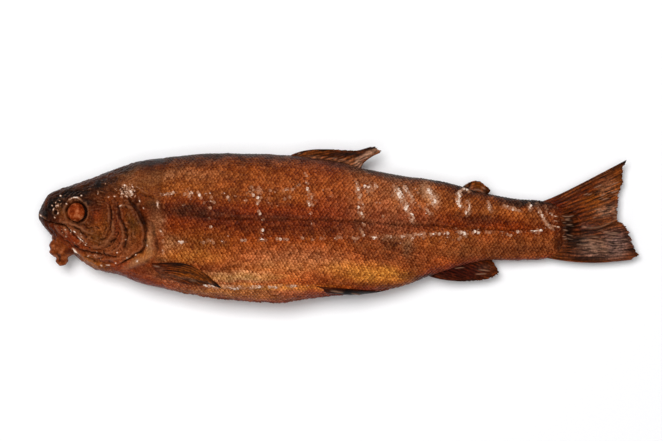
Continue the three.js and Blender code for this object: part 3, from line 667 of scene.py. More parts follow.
def skin_relief(x, y, spots):
    """What stands out of the plain skin or is pressed into it, its soot and painted shade, its rubbed ridges
    with painted highlights, and its gloss with painted highlights.
    """
    # Every drawn line wavers a little, and the soot and painted shade in it and the rubbed, highlighted crest
    # of it come and go.
    ragged_x = x + 0.5 * rumple(spots, 2.6, 61) + 0.3 * rumple(spots, 1.1, 59)
    ragged_y = y + 0.5 * rumple(spots, 2.6, 62) + 0.3 * rumple(spots, 1.1, 60)
    height, soot_and_painted_shade, rub_and_painted_highlight = drawn(HEAD_LINES, ragged_x, ragged_y)
    worn = smooth(rumple(spots, 1.7, 58), -0.7, 0.4)
    soot_and_painted_shade, rub_and_painted_highlight = soot_and_painted_shade * (0.2 + 0.75 * worn), rub_and_painted_highlight * (0.3 + 0.7 * worn)

    # The eye's socket has a raised rim over it and painted shade round it, and the nostrils are small pits
    # with painted shade in them and a painted highlight on their rims.
    eye_x, eye_y = x - EYE[0], y - EYE[1]
    eye = np.hypot(eye_x, eye_y)
    height -= SOCKET_DEPTH * (1 - smooth(eye, EYE_RADIUS + 0.1, EYE_RADIUS + 2.0))
    height += SOCKET_RIM * bump(eye - EYE_RADIUS - 2.6, 1.0) * (0.5 + 0.5 * np.tanh(eye_y / 3))
    shade_reaches = EYE_RADIUS + 1.0 + 0.7 * np.tanh((eye_y + 0.4 * eye_x) / 5)
    soot_and_painted_shade = np.maximum(soot_and_painted_shade, 1 - smooth(eye, EYE_RADIUS + 0.1, shade_reaches))
    for nostril_x, nostril_y, size in NOSTRILS:
        nostril = np.hypot(x - nostril_x, y - nostril_y)
        height += 0.5 * bump(nostril - 1.2 * size - 0.4, 0.6) - 1.3 * bump(nostril, 0.8 * size)
        soot_and_painted_shade = np.maximum(soot_and_painted_shade, bump(nostril, 0.9 * size))
        rub_and_painted_highlight = np.maximum(rub_and_painted_highlight, 0.3 * bump(nostril - 1.2 * size - 0.5, 0.5))

    # The gill cover's free edge: the skin steps down behind it, and the slit is widest near its top. The slit
    # is darkened with painted shade.
    slit, share = along_curve(GILL_SLIT, ragged_x, ragged_y)
    gape = (0.75 + 1.25 * bump(share - 0.24, 0.15)) * (1 + 0.4 * rumple(spots, 2.4, 57))
    height += taper(share) * (
        GILL_LIP * smooth(-slit, 0.2, 1.0) * (1 - smooth(-slit, 3, 10))
        - GILL_DEPTH * bump(slit - 0.3 * gape, gape)
        - GILL_HOLLOW * bump(slit - 2.5, 1.8)
    )
    gaping = np.sqrt(taper(share)) * bump(slit - 0.3 * gape, 0.85 * gape)
    soot_and_painted_shade = np.maximum(soot_and_painted_shade, gaping * (0.65 + 0.35 * worn))

    # The lateral line: a groove under a low ridge, darkened along it.
    lateral, share = along_curve(LATERAL_LINE, ragged_x, ragged_y)
    inside = smooth(share, 0, 0.12) * (1 - smooth(share, 0.93, 1))
    height += inside * (LATERAL_RIDGE * bump(lateral - 2, 1.2) - LATERAL_DEPTH * bump(lateral, 0.9))
    soot_and_painted_shade = np.maximum(soot_and_painted_shade, 0.6 * inside * bump(lateral, 1.0) * (0.7 + 0.5 * rumple(spots, 5, 63)))

    # The rack's dashes and the dried folds: shiny crests, broken up, over the grooves of the wires' ends,
    # with painted highlights on them.
    dashes, grooves = [], []
    for runs in RACK_DASHES.values():
        for run in runs:
            apart = np.subtract(run[-1], run[0])
            half = min(DASH_HALF, DASH_LEAST + DASH_GROWTH * np.hypot(*apart))
            dashes.append((half, DASH_RISE, -1.15, run))
        grooves += [(WIRE_HALF, -WIRE_DEPTH, 0.0, [run[0], run[-1]]) for run in (runs[0], runs[-1])]
    dash_height, _, dash = drawn(dashes, ragged_x, ragged_y)
    height += dash_height + drawn(grooves, x, y)[0]
    folds = [(half, FOLD_RISE, -1.0, run) for half, run in SKIN_FOLDS]
    fold_height, _, fold = drawn(folds, ragged_x, ragged_y)
    height += fold_height
    broken = smooth(rumple(spots, (0.9, 1.2, 1.2), 64), -0.35, 0.35)
    gloss_and_painted_highlight = np.clip(np.maximum(dash * (0.55 + 0.45 * broken), fold * (0.5 + 0.5 * broken)), 0, 1)

    # Painted highlights: the glints of oil, each of its own width and brightness.
    random = np.random.default_rng(67)
    glints = [(half, 1.0, run) for half, run in HEAD_GLINTS]
    for count, centre, spread in GLINT_CLUSTERS:
        for _ in range(count):
            start = centre + random.normal(0, 0.6, 2) * spread
            run = [tuple(start), tuple(start + random.uniform(-GLINT_REACH, GLINT_REACH, 2))]
            glints.append((random.uniform(0.2, 0.42), random.uniform(0.3, 1.0), run))
    glints = [(half, GLINT_RISE, -bright, run) for half, bright, run in glints]
    glint_height, _, glint = drawn(glints, x, y)
    height += glint_height
    gloss_and_painted_highlight = np.maximum(gloss_and_painted_highlight, glint)
    return height, soot_and_painted_shade, rub_and_painted_highlight, gloss_and_painted_highlight


def blurred(values, reach):
    """The mean over the neighbouring rings and points."""
    for axis in (0, 1):
        values = sum(np.roll(values, k, axis) for k in range(-reach, reach + 1)) / (2 * reach + 1)
    return values


CHEEK = (-160.0, 3.0)  # the middle of the curved wrinkles of the cheek
NECK = (-140, -120)  # between these the head's creases give way to the body's
SNOUT = (-201, -193)  # the relief fades out towards the first
HOLLOW_REACH = 4  # points either way that a hollow or a crest is judged against


def dressed(plain):
    """Plain rings with their relief, and the values that the skin's material reads from them."""
    x, y = plain[..., 0], plain[..., 1]
    normals = ring_normals(plain)
    height, soot_and_painted_shade, rub_and_painted_highlight, gloss_and_painted_highlight = skin_relief(x, y, plain)
    height = height * np.abs(normals[..., 2]) ** 0.4

    # Fine creases: the skin has shrunk over the flesh, along the body behind the head and every way on it.
    # Each is a height in millimetres times lumps of a size in millimetres.
    on_head = 1 - smooth(x, *NECK)
    ridged = 1 - 2 * np.abs(rumple(plain, (3.6, 2.4, 2.4), 5))
    height += (1 - on_head) * (0.3 * rumple(plain, (8, 4, 4), 1) + 0.14 * rumple(plain, (2.6, 1.7, 1.7), 2))
    height += on_head * (0.25 * rumple(plain, 3.6, 3) + 0.22 * rumple(plain, 1.6, 4) + 0.16 * ridged)
    height += on_head * 0.2 * rumple(plain, 0.85, 6)

    # Wrinkles that run round the cheek, from the eye to the gill cover.
    from_cheek = np.hypot(x - CHEEK[0], y - CHEEK[1])
    bearing = np.arctan2(y - CHEEK[1], x - CHEEK[0])
    bent = np.stack([from_cheek + 0.3 * rumple(plain, 4, 10), 15 * bearing, 0 * x], axis=-1)
    rings = 1 - 2 * np.abs(rumple(bent, (1.7, 7, 1), 9))
    height += 0.32 * rings * smooth(from_cheek, 3, 8) * (1 - smooth(from_cheek, 24, 32)) * on_head
    height = height * smooth(x, *SNOUT)

    # The hollows get painted shade, and the crests a pale painted highlight.
    standing = height - blurred(height, HOLLOW_REACH)
    soot_and_painted_shade = np.maximum(soot_and_painted_shade, 0.85 * smooth(-standing, 0.06, 0.45) * (0.35 + 0.65 * on_head))
    rub_and_painted_highlight = np.maximum(rub_and_painted_highlight, 0.5 * smooth(standing, 0.08, 0.4) * (0.3 + 0.7 * on_head))
    return plain + normals * height[..., None], {"soot_and_painted_shade": soot_and_painted_shade, "rub_and_painted_highlight": rub_and_painted_highlight, "gloss_and_painted_highlight": gloss_and_painted_highlight}


def ring_faces(rings, count):
    """Quads between the rings and a fan of triangles over each end."""
    faces = []
    for i in range(rings - 1):
        for j in range(count):
            k = (j + 1) % count
            faces.append((i * count + j, (i + 1) * count + j, (i + 1) * count + k, i * count + k))
    front, rear = rings * count, rings * count + 1
    for j in range(count):
        k = (j + 1) % count
        faces.append((front, j, k))
        faces.append((rear, (rings - 1) * count + k, (rings - 1) * count + j))
    return faces


def new_piece(name, points, faces, material, node="fish"):
    """A smooth-shaded piece of the fish from points in millimetres, riding on its one body."""
    mesh = bpy.data.meshes.new(name)
    mesh.from_pydata((np.asarray(points).reshape(-1, 3) * MM).tolist(), [], faces)
    mesh.polygons.foreach_set("use_smooth", np.ones(len(mesh.polygons), bool))
    mesh.materials.append(material)
    piece = link(bpy.data.objects.new(name, mesh))
    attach(piece, "root")
    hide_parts(node)
    return piece


def set_value(piece, name, values):
    """Stores one number for each point of a piece, for its material to read."""
    layer = piece.data.attributes.new(name, "FLOAT", "POINT")
    layer.data.foreach_set("value", np.asarray(values, np.float32).ravel())


def stain(spots, x, y):
    """How strong a stain is at each place, from its spots."""
    total = np.zeros(x.shape)
    for sx, sy, half_length, half_height, tilt, strength in spots:
        c, s = np.cos(np.radians(tilt)), np.sin(np.radians(tilt))
        u, v = (x - sx) * c + (y - sy) * s, (y - sy) * c - (x - sx) * s
        here = np.exp(-((u / half_length) ** 2 + (v / half_height) ** 2) ** 1.3)
        total = np.maximum(total, strength * here)
    return total


def skin_values(spots):
    """How high up the body each place is, its dark and light mottling, and its stains, by name."""
    x, y = spots[..., 0], spots[..., 1]
    line, back, belly, _, _ = section(x)
    mottle = 0.8 * rumple(spots, (3.6, 2.6, 2.6), 68) + 0.6 * rumple(spots, 1.5, 69)
    mottle += 0.7 * rumple(spots, 7, 70)
    values = {"height": np.clip((y - line + belly) / (back + belly), 0, 1), "mottle": mottle}
    for name, places in STAINS.items():
        values[name] = stain(places, x + 1.5 * rumple(spots, 6, 65), y + 1.5 * rumple(spots, 6, 66))
    return values


# The skin's colours from the belly up to the back, and the colours of its stains.
HEIGHT_COLOURS = [
    (0.0, "#6c2a1a"), (0.06, "#8a340a"), (0.24, "#903c14"), (0.38, "#7a3008"), (0.52, "#6c2000"),
    (0.62, "#5c1c00"), (0.75, "#803a10"), (0.9, "#6c2c08"), (1.0, "#2c1c16"),
]
TINTS = {
    "pale": "#b07a4c", "gold": "#c47a28", "brown": "#5c290e", "olive": "#48300e", "orange": "#96501a",
    "red": "#702008", "smoke": "#2c1006", "char_and_painted_shade": "#120c0a",
}

# Hot-smoked trout skin: thin, leathery and oily, dark on the back and gold on the belly, with fine specks of
# soot and pale fat all over. The blotches measure about 9 mm and the specks 1.2 mm.
smoked_skin, tree = new_material("hot-smoked trout skin")
coords = add(tree, "ShaderNodeTexCoord").outputs["Object"]
read = {
    name: add(tree, "ShaderNodeAttribute", attribute_name=name).outputs["Fac"]
    for name in ("height", "mottle", "tone", "lip", "soot_and_painted_shade", "rub_and_painted_highlight", "gloss_and_painted_highlight", *TINTS)
}
pattern = {"Vector": coords, "Scale": 110.0, "Detail": 4.0, "Roughness": 0.6}
blotches = add(tree, "ShaderNodeTexNoise", pattern)
pattern = {"Vector": coords, "Scale": 850.0, "Detail": 3.0, "Roughness": 0.7}
specks = add(tree, "ShaderNodeTexNoise", pattern)
wavy = add(tree, "ShaderNodeMath", {0: blotches, 1: 0.16, 2: -0.08}, operation="MULTIPLY_ADD")
place_up = add(tree, "ShaderNodeMath", {0: read["height"], 1: wavy}, operation="ADD")
ramp = add(tree, "ShaderNodeValToRGB", {"Fac": place_up})
for _ in HEIGHT_COLOURS[2:]:
    ramp.color_ramp.elements.new(0.5)
for stop, (at, code) in zip(ramp.color_ramp.elements, HEIGHT_COLOURS):
    stop.position, stop.color = at, linear(code)
base = ramp
patchy = add(tree, "ShaderNodeMath", {0: blotches, 1: 1.2, 2: 0.4}, operation="MULTIPLY_ADD")
for name, code in TINTS.items():
    strength = add(tree, "ShaderNodeMath", {0: read[name], 1: patchy}, operation="MULTIPLY", use_clamp=True)
    base = add(tree, "ShaderNodeMix", {0: strength, 6: base, 7: linear(code)}, data_type="RGBA")

# Mottling, then each scale's own tone and flecks, with painted shade over its front, where it lies under the
# scale ahead, and a painted highlight, partly pale fat, on its free lip, which stands out more from the
# middle of the fish backwards.
uneven = add(tree, "ShaderNodeMath", {0: read["mottle"], 1: 0.28, 2: 1.0}, operation="MULTIPLY_ADD")
base = add(tree, "ShaderNodeVectorMath", {0: base, 1: uneven}, operation="MULTIPLY")
spread = {"From Min": 0.36, "From Max": 0.64, "To Min": -1.35, "To Max": 1.35}
flecks = add(tree, "ShaderNodeMapRange", {"Value": specks, **spread})
each = add(tree, "ShaderNodeMath", {0: read["tone"], 1: 0.9, 2: flecks}, operation="MULTIPLY_ADD")
along = add(tree, "ShaderNodeSeparateXYZ", {0: coords}).outputs["X"]
spread = {"From Min": -90 * MM, "From Max": 40 * MM, "To Min": 1.7, "To Max": 2.4}
stands = add(tree, "ShaderNodeMapRange", {"Value": along, **spread})
lit_lip_and_tone = add(tree, "ShaderNodeMath", {0: read["lip"], 1: stands}, operation="MULTIPLY")
lit_lip_and_tone = add(tree, "ShaderNodeMath", {0: lit_lip_and_tone, 1: each}, operation="ADD")
deep = add(tree, "ShaderNodeVectorMath", {0: base, 1: (0.32, 0.16, 0.06)}, operation="MULTIPLY")
sunk = add(tree, "ShaderNodeMapRange", {"Value": lit_lip_and_tone, "From Min": 0.1, "From Max": -1.9})
fat_and_lip_highlight = add(tree, "ShaderNodeMapRange", {"Value": lit_lip_and_tone, "From Min": 0.3, "From Max": 2.5})
highlight_and_fat_colour = {0: base, 1: (2.3, 3.0, 4.2), 2: (0.03, 0.018, 0.008)}
pale = add(tree, "ShaderNodeVectorMath", highlight_and_fat_colour, operation="MULTIPLY_ADD")
base = add(tree, "ShaderNodeMix", {0: sunk, 6: base, 7: deep}, data_type="RGBA")
base = add(tree, "ShaderNodeMix", {0: fat_and_lip_highlight, 6: base, 7: pale}, data_type="RGBA")

# Pale crests, rubbed and with painted highlights; soot and painted shade; and the shiny places, glossy and
# painted as highlights with a pale edge and a bright middle.
rubbed_and_lit = add(tree, "ShaderNodeMath", {0: read["rub_and_painted_highlight"], 1: 0.6}, operation="MULTIPLY", use_clamp=True)
base = add(tree, "ShaderNodeMix", {0: rubbed_and_lit, 6: base, 7: linear("#a86f4c")}, data_type="RGBA")
base = add(tree, "ShaderNodeMix", {0: read["soot_and_painted_shade"], 6: base, 7: linear("#140704")}, data_type="RGBA")
free = add(tree, "ShaderNodeMapRange", {"Value": read["lip"], "From Min": -0.5, "From Max": 0.0})
gloss_and_painted_highlight = add(tree, "ShaderNodeMath", {0: read["gloss_and_painted_highlight"], 1: free}, operation="MULTIPLY")
spread = {"From Min": -1.2, "From Max": 0.8, "To Min": 0.55, "To Max": 1.4}
struck = add(tree, "ShaderNodeMapRange", {"Value": each, **spread})
gloss_and_painted_highlight = add(tree, "ShaderNodeMath", {0: gloss_and_painted_highlight, 1: struck}, operation="MULTIPLY", use_clamp=True)
painted_sheen = add(tree, "ShaderNodeMapRange", {"Value": gloss_and_painted_highlight, "From Min": 0.08, "From Max": 0.55, "To Max": 0.75})
base = add(tree, "ShaderNodeMix", {0: painted_sheen, 6: base, 7: linear("#b98564")}, data_type="RGBA")
painted_glint = add(tree, "ShaderNodeMapRange", {"Value": gloss_and_painted_highlight, "From Min": 0.6, "From Max": 0.92, "To Max": 0.95})
base = add(tree, "ShaderNodeMix", {0: painted_glint, 6: base, 7: linear("#f2dccb")}, data_type="RGBA")
raised = add(tree, "ShaderNodeBump", {"Height": specks, "Strength": 0.8, "Distance": 0.4 * MM})
spread = {"From Min": 0.35, "From Max": 0.65, "To Min": 0.4, "To Max": 0.24}
dull = add(tree, "ShaderNodeMapRange", {"Value": specks, **spread})
rough = add(tree, "ShaderNodeMix", {0: gloss_and_painted_highlight, 2: dull, 3: 0.16})
oiled = {"Base Color": base, "Roughness": rough, "Normal": raised, "IOR": 1.45, "Specular IOR Level": 0.1}
surface = add(tree, "ShaderNodeBsdfPrincipled", oiled)
add(tree, "ShaderNodeOutputMaterial", {"Surface": surface})

SNOUT_TIP, BODY_REAR = place((0, 0))[0], place((STATIONS[-1, 0], 0))[0]
UNDER_HEAD, UNDER_TAIL = 0.3, 1.1  # how far the body's skin lies under the head's and the tail's
TAIL_JOINT = (146, 154)  # the body's skin sinks under the tail's sleeve over this
CUT_FRONT, CUT_REAR = (-117, -100), (30, 44)  # the cut along the belly fades in and out over these
CUT_DEPTH, CUT_LIP = 2.0, 0.6
LOWEST = 0.05  # above the table, for every point of the fish
END_BULGE = 0.3  # how far the middle of each closed end stands out

head_places = SNOUT_TIP + (HEAD_REAR - SNOUT_TIP) * np.linspace(0, 1, HEAD_RINGS) ** SNOUT_CLOSER
body_places = np.linspace(BODY_FRONT, BODY_REAR, BODY_RINGS)
for name, xs, counts in (
    ("head_skin", head_places, HEAD_POINTS),
    ("body_skin", body_places, BODY_POINTS),
):
    plain, girth = body_rings(xs, counts)
    points, values = dressed(plain)
    if name == "body_skin":
        x = plain[..., 0]
        under = UNDER_HEAD * (1 - smooth(x, BODY_FRONT, HEAD_REAR + 2)) + UNDER_TAIL * smooth(x, *TAIL_JOINT)
        points = points - ring_normals(plain) * under[..., None]

        # The cut along the belly: a groove between two thin, ragged lips.
        cut = smooth(x, *CUT_FRONT) * (1 - smooth(x, *CUT_REAR))
        is_left = np.arange(girth.shape[1]) < counts[0]
        left_end, right_end = girth[:, counts[0] - 1 : counts[0]], girth[:, counts[0] : counts[0] + 1]
        from_cut = np.where(is_left, left_end, right_end) - girth
        ragged = 0.8 + 0.5 * rumple(plain, (5, 50, 50), 7) + 0.4 * rumple(plain, (1.8, 50, 50), 8)
        lips = cut * (CUT_LIP * ragged * bump(from_cut - 2.2, 1.0) - CUT_DEPTH * bump(from_cut, 1.2))
        points = points + ring_normals(plain) * lips[..., None]
    points[..., 2] = np.maximum(points[..., 2], LOWEST)
    front = points[0].mean(axis=0) - (END_BULGE, 0, 0)
    rear = points[-1].mean(axis=0) + (END_BULGE, 0, 0)
    closed = np.concatenate([points.reshape(-1, 3), [front, rear]])
    skin = new_piece(name, closed, ring_faces(*girth.shape), smoked_skin)
    face_count, end_count = len(skin.data.polygons), 2 * girth.shape[1]
    skin.data.polygons.foreach_set("use_smooth", np.arange(face_count) < face_count - end_count)
    values.update(skin_values(plain))
    for key, value in values.items():
        set_value(skin, key, np.r_[value.ravel(), value[0].mean(), value[-1].mean()])
body = {"points": points, "girth": girth, "values": values}


# ---- scales ------------------------------------------------------------------------------------------
# Small, thin trout scales, dried onto the skin in slanting rows. The front of each lies under the scale
# ahead of it, and its rear edge stands a little free.

SCALE_LENGTH, SCALE_ROW = 2.2, 1.76  # from one scale to the next along the fish, and from row to row
SCALE_SHIFT = 0.45  # how far each row is set back from the last, as a share of a scale
SCALE_SIDES = 8
MOST_ROWS, MOST_IN_ROW = 100, 200
SCALE_JITTER = 0.07  # how far a scale strays, as a share of a scale and of a row
SCALE_SINK = 0.12  # of its middle into the skin
SIZE_SPREAD = 0.08  # how much larger or smaller a scale is, as a share
BARE_SHARE = (0.004, 0.985)  # no scales nearer to the back or the belly than these shares of the way round
FIRST_SCALE = 1.5  # behind the front end of the body's skin
SCALY_FRONT, SCALY_REAR = (-117.5, -115), (142, 150)  # the scales set in and thin out over these
THINNING = 0.97  # scales are missing where their cover falls below this share
LOWEST_SCALE = 1.5  # above the table, so that no scale is pressed into it


def on_grid(grid, ring, column):
    """The grid's values at places between its rings and points."""
    i, j = np.clip(np.floor(ring).astype(int), 0, len(grid) - 2), np.floor(column).astype(int)
    u, v = ring - i, column - j
    u, v = (u[:, None], v[:, None]) if grid.ndim == 3 else (u, v)
    j, k = j % grid.shape[1], (j + 1) % grid.shape[1]
    before = grid[i, j] * (1 - v) + grid[i, k] * v
    behind = grid[i + 1, j] * (1 - v) + grid[i + 1, k] * v
    return before * (1 - u) + behind * u


def scale_places(flank, counts, girth, rear):
    """The scales of a flank, 0 for the left and 1 for the right, as rings and columns of the body's grid."""
    random = np.random.default_rng(71 + flank)
    row, step = (each.ravel() for each in np.mgrid[0:MOST_ROWS, 0:MOST_IN_ROW])
    along = step + row * SCALE_SHIFT % 1 + random.uniform(-SCALE_JITTER, SCALE_JITTER, row.shape)
    x = BODY_FRONT + FIRST_SCALE + along * SCALE_LENGTH
    round_ = (row + 0.5 + random.uniform(-SCALE_JITTER, SCALE_JITTER, row.shape)) * SCALE_ROW
    rings = np.arange(len(girth))
    ring = (x - BODY_FRONT) / (rear - BODY_FRONT) * (len(girth) - 1)
    whole = girth[:, counts[0] - 1] * counts[0] / (counts[0] - 1) if flank == 0 else girth[:, counts[0]]
    whole = np.interp(ring, rings, whole)
    share = round_ / whole
    column = share * counts[0] if flank == 0 else counts[0] + (1 - share) * counts[1]
    scaly = smooth(x, *SCALY_FRONT) * (1 - smooth(x, *SCALY_REAR))
    kept = (share > BARE_SHARE[0]) & (share < BARE_SHARE[1]) & (ring < len(girth) - 1)
    kept &= random.uniform(0, THINNING, row.shape) < scaly
    return ring[kept], column[kept]


# The tree that lays a flank's scales. Its sizes are in millimetres, and its angles in degrees.
scale_tree = bpy.data.node_groups.new("scales on a flank", "GeometryNodeTree")
scale_tree.is_modifier = True
scale_tree.interface.new_socket("Geometry", in_out="INPUT", socket_type="NodeSocketGeometry")
scale_tree.interface.new_socket("Geometry", in_out="OUTPUT", socket_type="NodeSocketGeometry")
SCALE_SIZES = {"Length": 1.66, "Width": 1.28, "Thickness": 0.42, "Tilt": 12.0, "Unevenness": 6.0}
for name in SCALE_SIZES:
    scale_tree.interface.new_socket(name, in_out="INPUT", socket_type="NodeSocketFloat")
scale_tree.interface.new_socket("Seed", in_out="INPUT", socket_type="NodeSocketInt")
given = scale_tree.nodes.new("NodeGroupInput").outputs

# One scale: a flat cone whose "lip" runs from -1 at its front edge to 1 at its free edge.
cone = add(
    scale_tree,
    "GeometryNodeMeshCone",
    {"Vertices": SCALE_SIDES, "Radius Top": 0.0, "Radius Bottom": 1.0, "Depth": 1.0},
    fill_type="TRIANGLE_FAN",
)
where = add(scale_tree, "ShaderNodeSeparateXYZ", {0: add(scale_tree, "GeometryNodeInputPosition")})
lipped = add(
    scale_tree,
    "GeometryNodeStoreNamedAttribute",
    {"Geometry": cone.outputs["Mesh"], "Name": "lip", "Value": where.outputs["X"]},
    data_type="FLOAT",
    domain="POINT",
)

# Each scale is set on the skin, facing along it, tilted so that its rear edge is free, and a little askew.
seeds = [
    add(scale_tree, "ShaderNodeMath", {0: given["Seed"], 1: float(k)}, operation="ADD") for k in range(3)
]
uneven = [
    add(scale_tree, "ShaderNodeMath", {0: given["Unevenness"], 1: sign}, operation="MULTIPLY")
    for sign in (-1.0, 1.0)
]
turns = []
for seed in seeds:
    either_way = {"Min": uneven[0], "Max": uneven[1], "Seed": seed}
    turns.append(add(scale_tree, "FunctionNodeRandomValue", either_way, data_type="FLOAT"))
tilted = add(scale_tree, "ShaderNodeMath", {0: turns[1], 1: given["Tilt"]}, operation="SUBTRACT")
lean = add(scale_tree, "ShaderNodeCombineXYZ", {0: turns[0], 1: tilted, 2: turns[2]})
lean = add(scale_tree, "ShaderNodeVectorMath", {0: lean, "Scale": float(np.radians(1))}, operation="SCALE")
upwards, ahead = (
    add(scale_tree, "GeometryNodeInputNamedAttribute", {"Name": name}, data_type="FLOAT_VECTOR")
    for name in ("out", "ahead")
)
stood = add(scale_tree, "FunctionNodeAlignRotationToVector", {"Vector": upwards}, axis="Z")
faced = add(
    scale_tree,
    "FunctionNodeAlignRotationToVector",
    {"Rotation": stood, "Vector": ahead},
    axis="X",
    pivot_axis="Z",
)
turned = add(
    scale_tree,
    "FunctionNodeRotateRotation",
    {"Rotation": faced, "Rotate By": add(scale_tree, "FunctionNodeEulerToRotation", {"Euler": lean})},
    rotation_space="LOCAL",
)
either_way = {"Min": -1.0, "Max": 1.0, "Seed": given["Seed"]}
tone = add(scale_tree, "FunctionNodeRandomValue", either_way, data_type="FLOAT")
spots = add(scale_tree, "GeometryNodeMeshToPoints", {"Mesh": given["Geometry"]})
spots = add(
    scale_tree,
    "GeometryNodeStoreNamedAttribute",
    {"Geometry": spots, "Name": "tone", "Value": tone},
    data_type="FLOAT",
    domain="POINT",
)
size = add(scale_tree, "ShaderNodeCombineXYZ", {0: given["Length"], 1: given["Width"], 2: given["Thickness"]})
grown = add(scale_tree, "ShaderNodeMath", {0: tone, 1: SIZE_SPREAD * MM, 2: MM}, operation="MULTIPLY_ADD")
size = add(scale_tree, "ShaderNodeVectorMath", {0: size, "Scale": grown}, operation="SCALE")
laid = add(
    scale_tree,
    "GeometryNodeInstanceOnPoints",
    {"Points": spots, "Instance": lipped, "Rotation": turned, "Scale": size},
)
made = add(scale_tree, "GeometryNodeRealizeInstances", {"Geometry": laid})
skinned = add(scale_tree, "GeometryNodeSetMaterial", {"Geometry": made, "Material": smoked_skin})
add(scale_tree, "NodeGroupOutput", {"Geometry": skinned})

for flank, side_name in enumerate(("left", "right")):
    ring, column = scale_places(flank, BODY_POINTS, body["girth"], BODY_REAR)
    off_table = on_grid(body["points"], ring, column)[:, 2] > LOWEST_SCALE
    ring, column = ring[off_table], column[off_table]
    out = on_grid(ring_normals(body["points"]), ring, column)
    along = on_grid(np.gradient(body["points"], axis=0), ring, column)
    sunk = on_grid(body["points"], ring, column) - SCALE_SINK * out
    seat = bpy.data.meshes.new("scale places")
    seat.from_pydata((sunk * MM).tolist(), [], [])
    for name, vectors in (("out", out), ("ahead", along)):
        layer = seat.attributes.new(name, "FLOAT_VECTOR", "POINT")
        layer.data.foreach_set("vector", vectors.astype(np.float32).ravel())
    holder = link(bpy.data.objects.new("scale places", seat))
    for name, values in body["values"].items():
        set_value(holder, name, on_grid(values, ring, column))
    modifier = holder.modifiers.new("scales", "NODES")
    modifier.node_group = scale_tree
    for item in scale_tree.interface.items_tree:
        if item.in_out == "INPUT" and item.name in SCALE_SIZES:
            modifier[item.identifier] = SCALE_SIZES[item.name]
        elif item.in_out == "INPUT" and item.name == "Seed":
            modifier[item.identifier] = 10 * flank
    scales = bpy.data.meshes.new_from_object(holder.evaluated_get(bpy.context.evaluated_depsgraph_get()))
    bpy.data.objects.remove(holder)
    scales.name = f"scales_{side_name}"
    piece = link(bpy.data.objects.new(scales.name, scales))
    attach(piece, "root")
    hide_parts("fish")

# ---- eyes --------------------------------------------------------------------------------------------
# Cooked eyeballs: set solid in the heat, clouded and orange brown, and a little shrunken in their sockets.

EYE_RINGS, EYE_POINTS = 48, 80
EYE_COLOURS = [(0.36, "#541604"), (0.5, "#843410"), (0.64, "#b0643c")]

# A cooked eyeball: dull orange with darker clouds in it and a rough, half-dry face. The clouds measure
# about 3.3 mm and the flecks 0.8 mm.
cooked_eye, tree = new_material("cooked fish eye")
coords = add(tree, "ShaderNodeTexCoord").outputs["Object"]
clouds = add(tree, "ShaderNodeTexNoise", {"Vector": coords, "Scale": 300.0, "Detail": 5.0, "Roughness": 0.65})
flecks = add(tree, "ShaderNodeTexNoise", {"Vector": coords, "Scale": 1300.0, "Detail": 2.0})
ramp = add(tree, "ShaderNodeValToRGB", {"Fac": clouds})
ramp.color_ramp.elements.new(0.5)
for stop, (at, code) in zip(ramp.color_ramp.elements, EYE_COLOURS):
    stop.position, stop.color = at, linear(code)
raised = add(tree, "ShaderNodeBump", {"Height": flecks, "Strength": 0.6, "Distance": 0.3 * MM})
half_dry = {"Base Color": ramp, "Roughness": 0.5, "Normal": raised, "IOR": 1.35, "Specular IOR Level": 0.09}
surface = add(tree, "ShaderNodeBsdfPrincipled", half_dry)
add(tree, "ShaderNodeOutputMaterial", {"Surface": surface})


def ball(rings, count):
    """Points and faces of a ball of radius 1."""
    down = np.linspace(0, np.pi, rings + 2)[1:-1, None]
    round_ = np.linspace(0, 2 * np.pi, count, endpoint=False)[None]
    x, y, z = np.sin(down) * np.cos(round_), np.sin(down) * np.sin(round_), np.cos(down) + 0 * round_
    grid = np.stack([x, y, z], axis=-1).reshape(-1, 3)
    return np.concatenate([grid, [[0, 0, 1.0], [0, 0, -1.0]]]), ring_faces(rings, count)


# Each eyeball fills its box, but for shallow dents where it has dried out.
for name in ("eye_left", "eye_right"):
    low, high = (np.array(corner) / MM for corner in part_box(name))
    shape, faces = ball(EYE_RINGS, EYE_POINTS)
    shape *= (1 - 0.025 * (1 + rumple(shape, 0.45, 21)) - 0.015 * (1 + rumple(shape, 0.2, 22)))[:, None]
    shape = shape * (high - low) / 2 + (high + low) / 2
    new_piece(name + "_ball", shape, faces, cooked_eye, name)

# ---- fins --------------------------------------------------------------------------------------------
# Dried fins: a brown, brittle skin stretched over bony rays that fork towards the free edge, so that the
# edge has finer ribs than the root. The fin in front of the tail is plain skin with no bones.

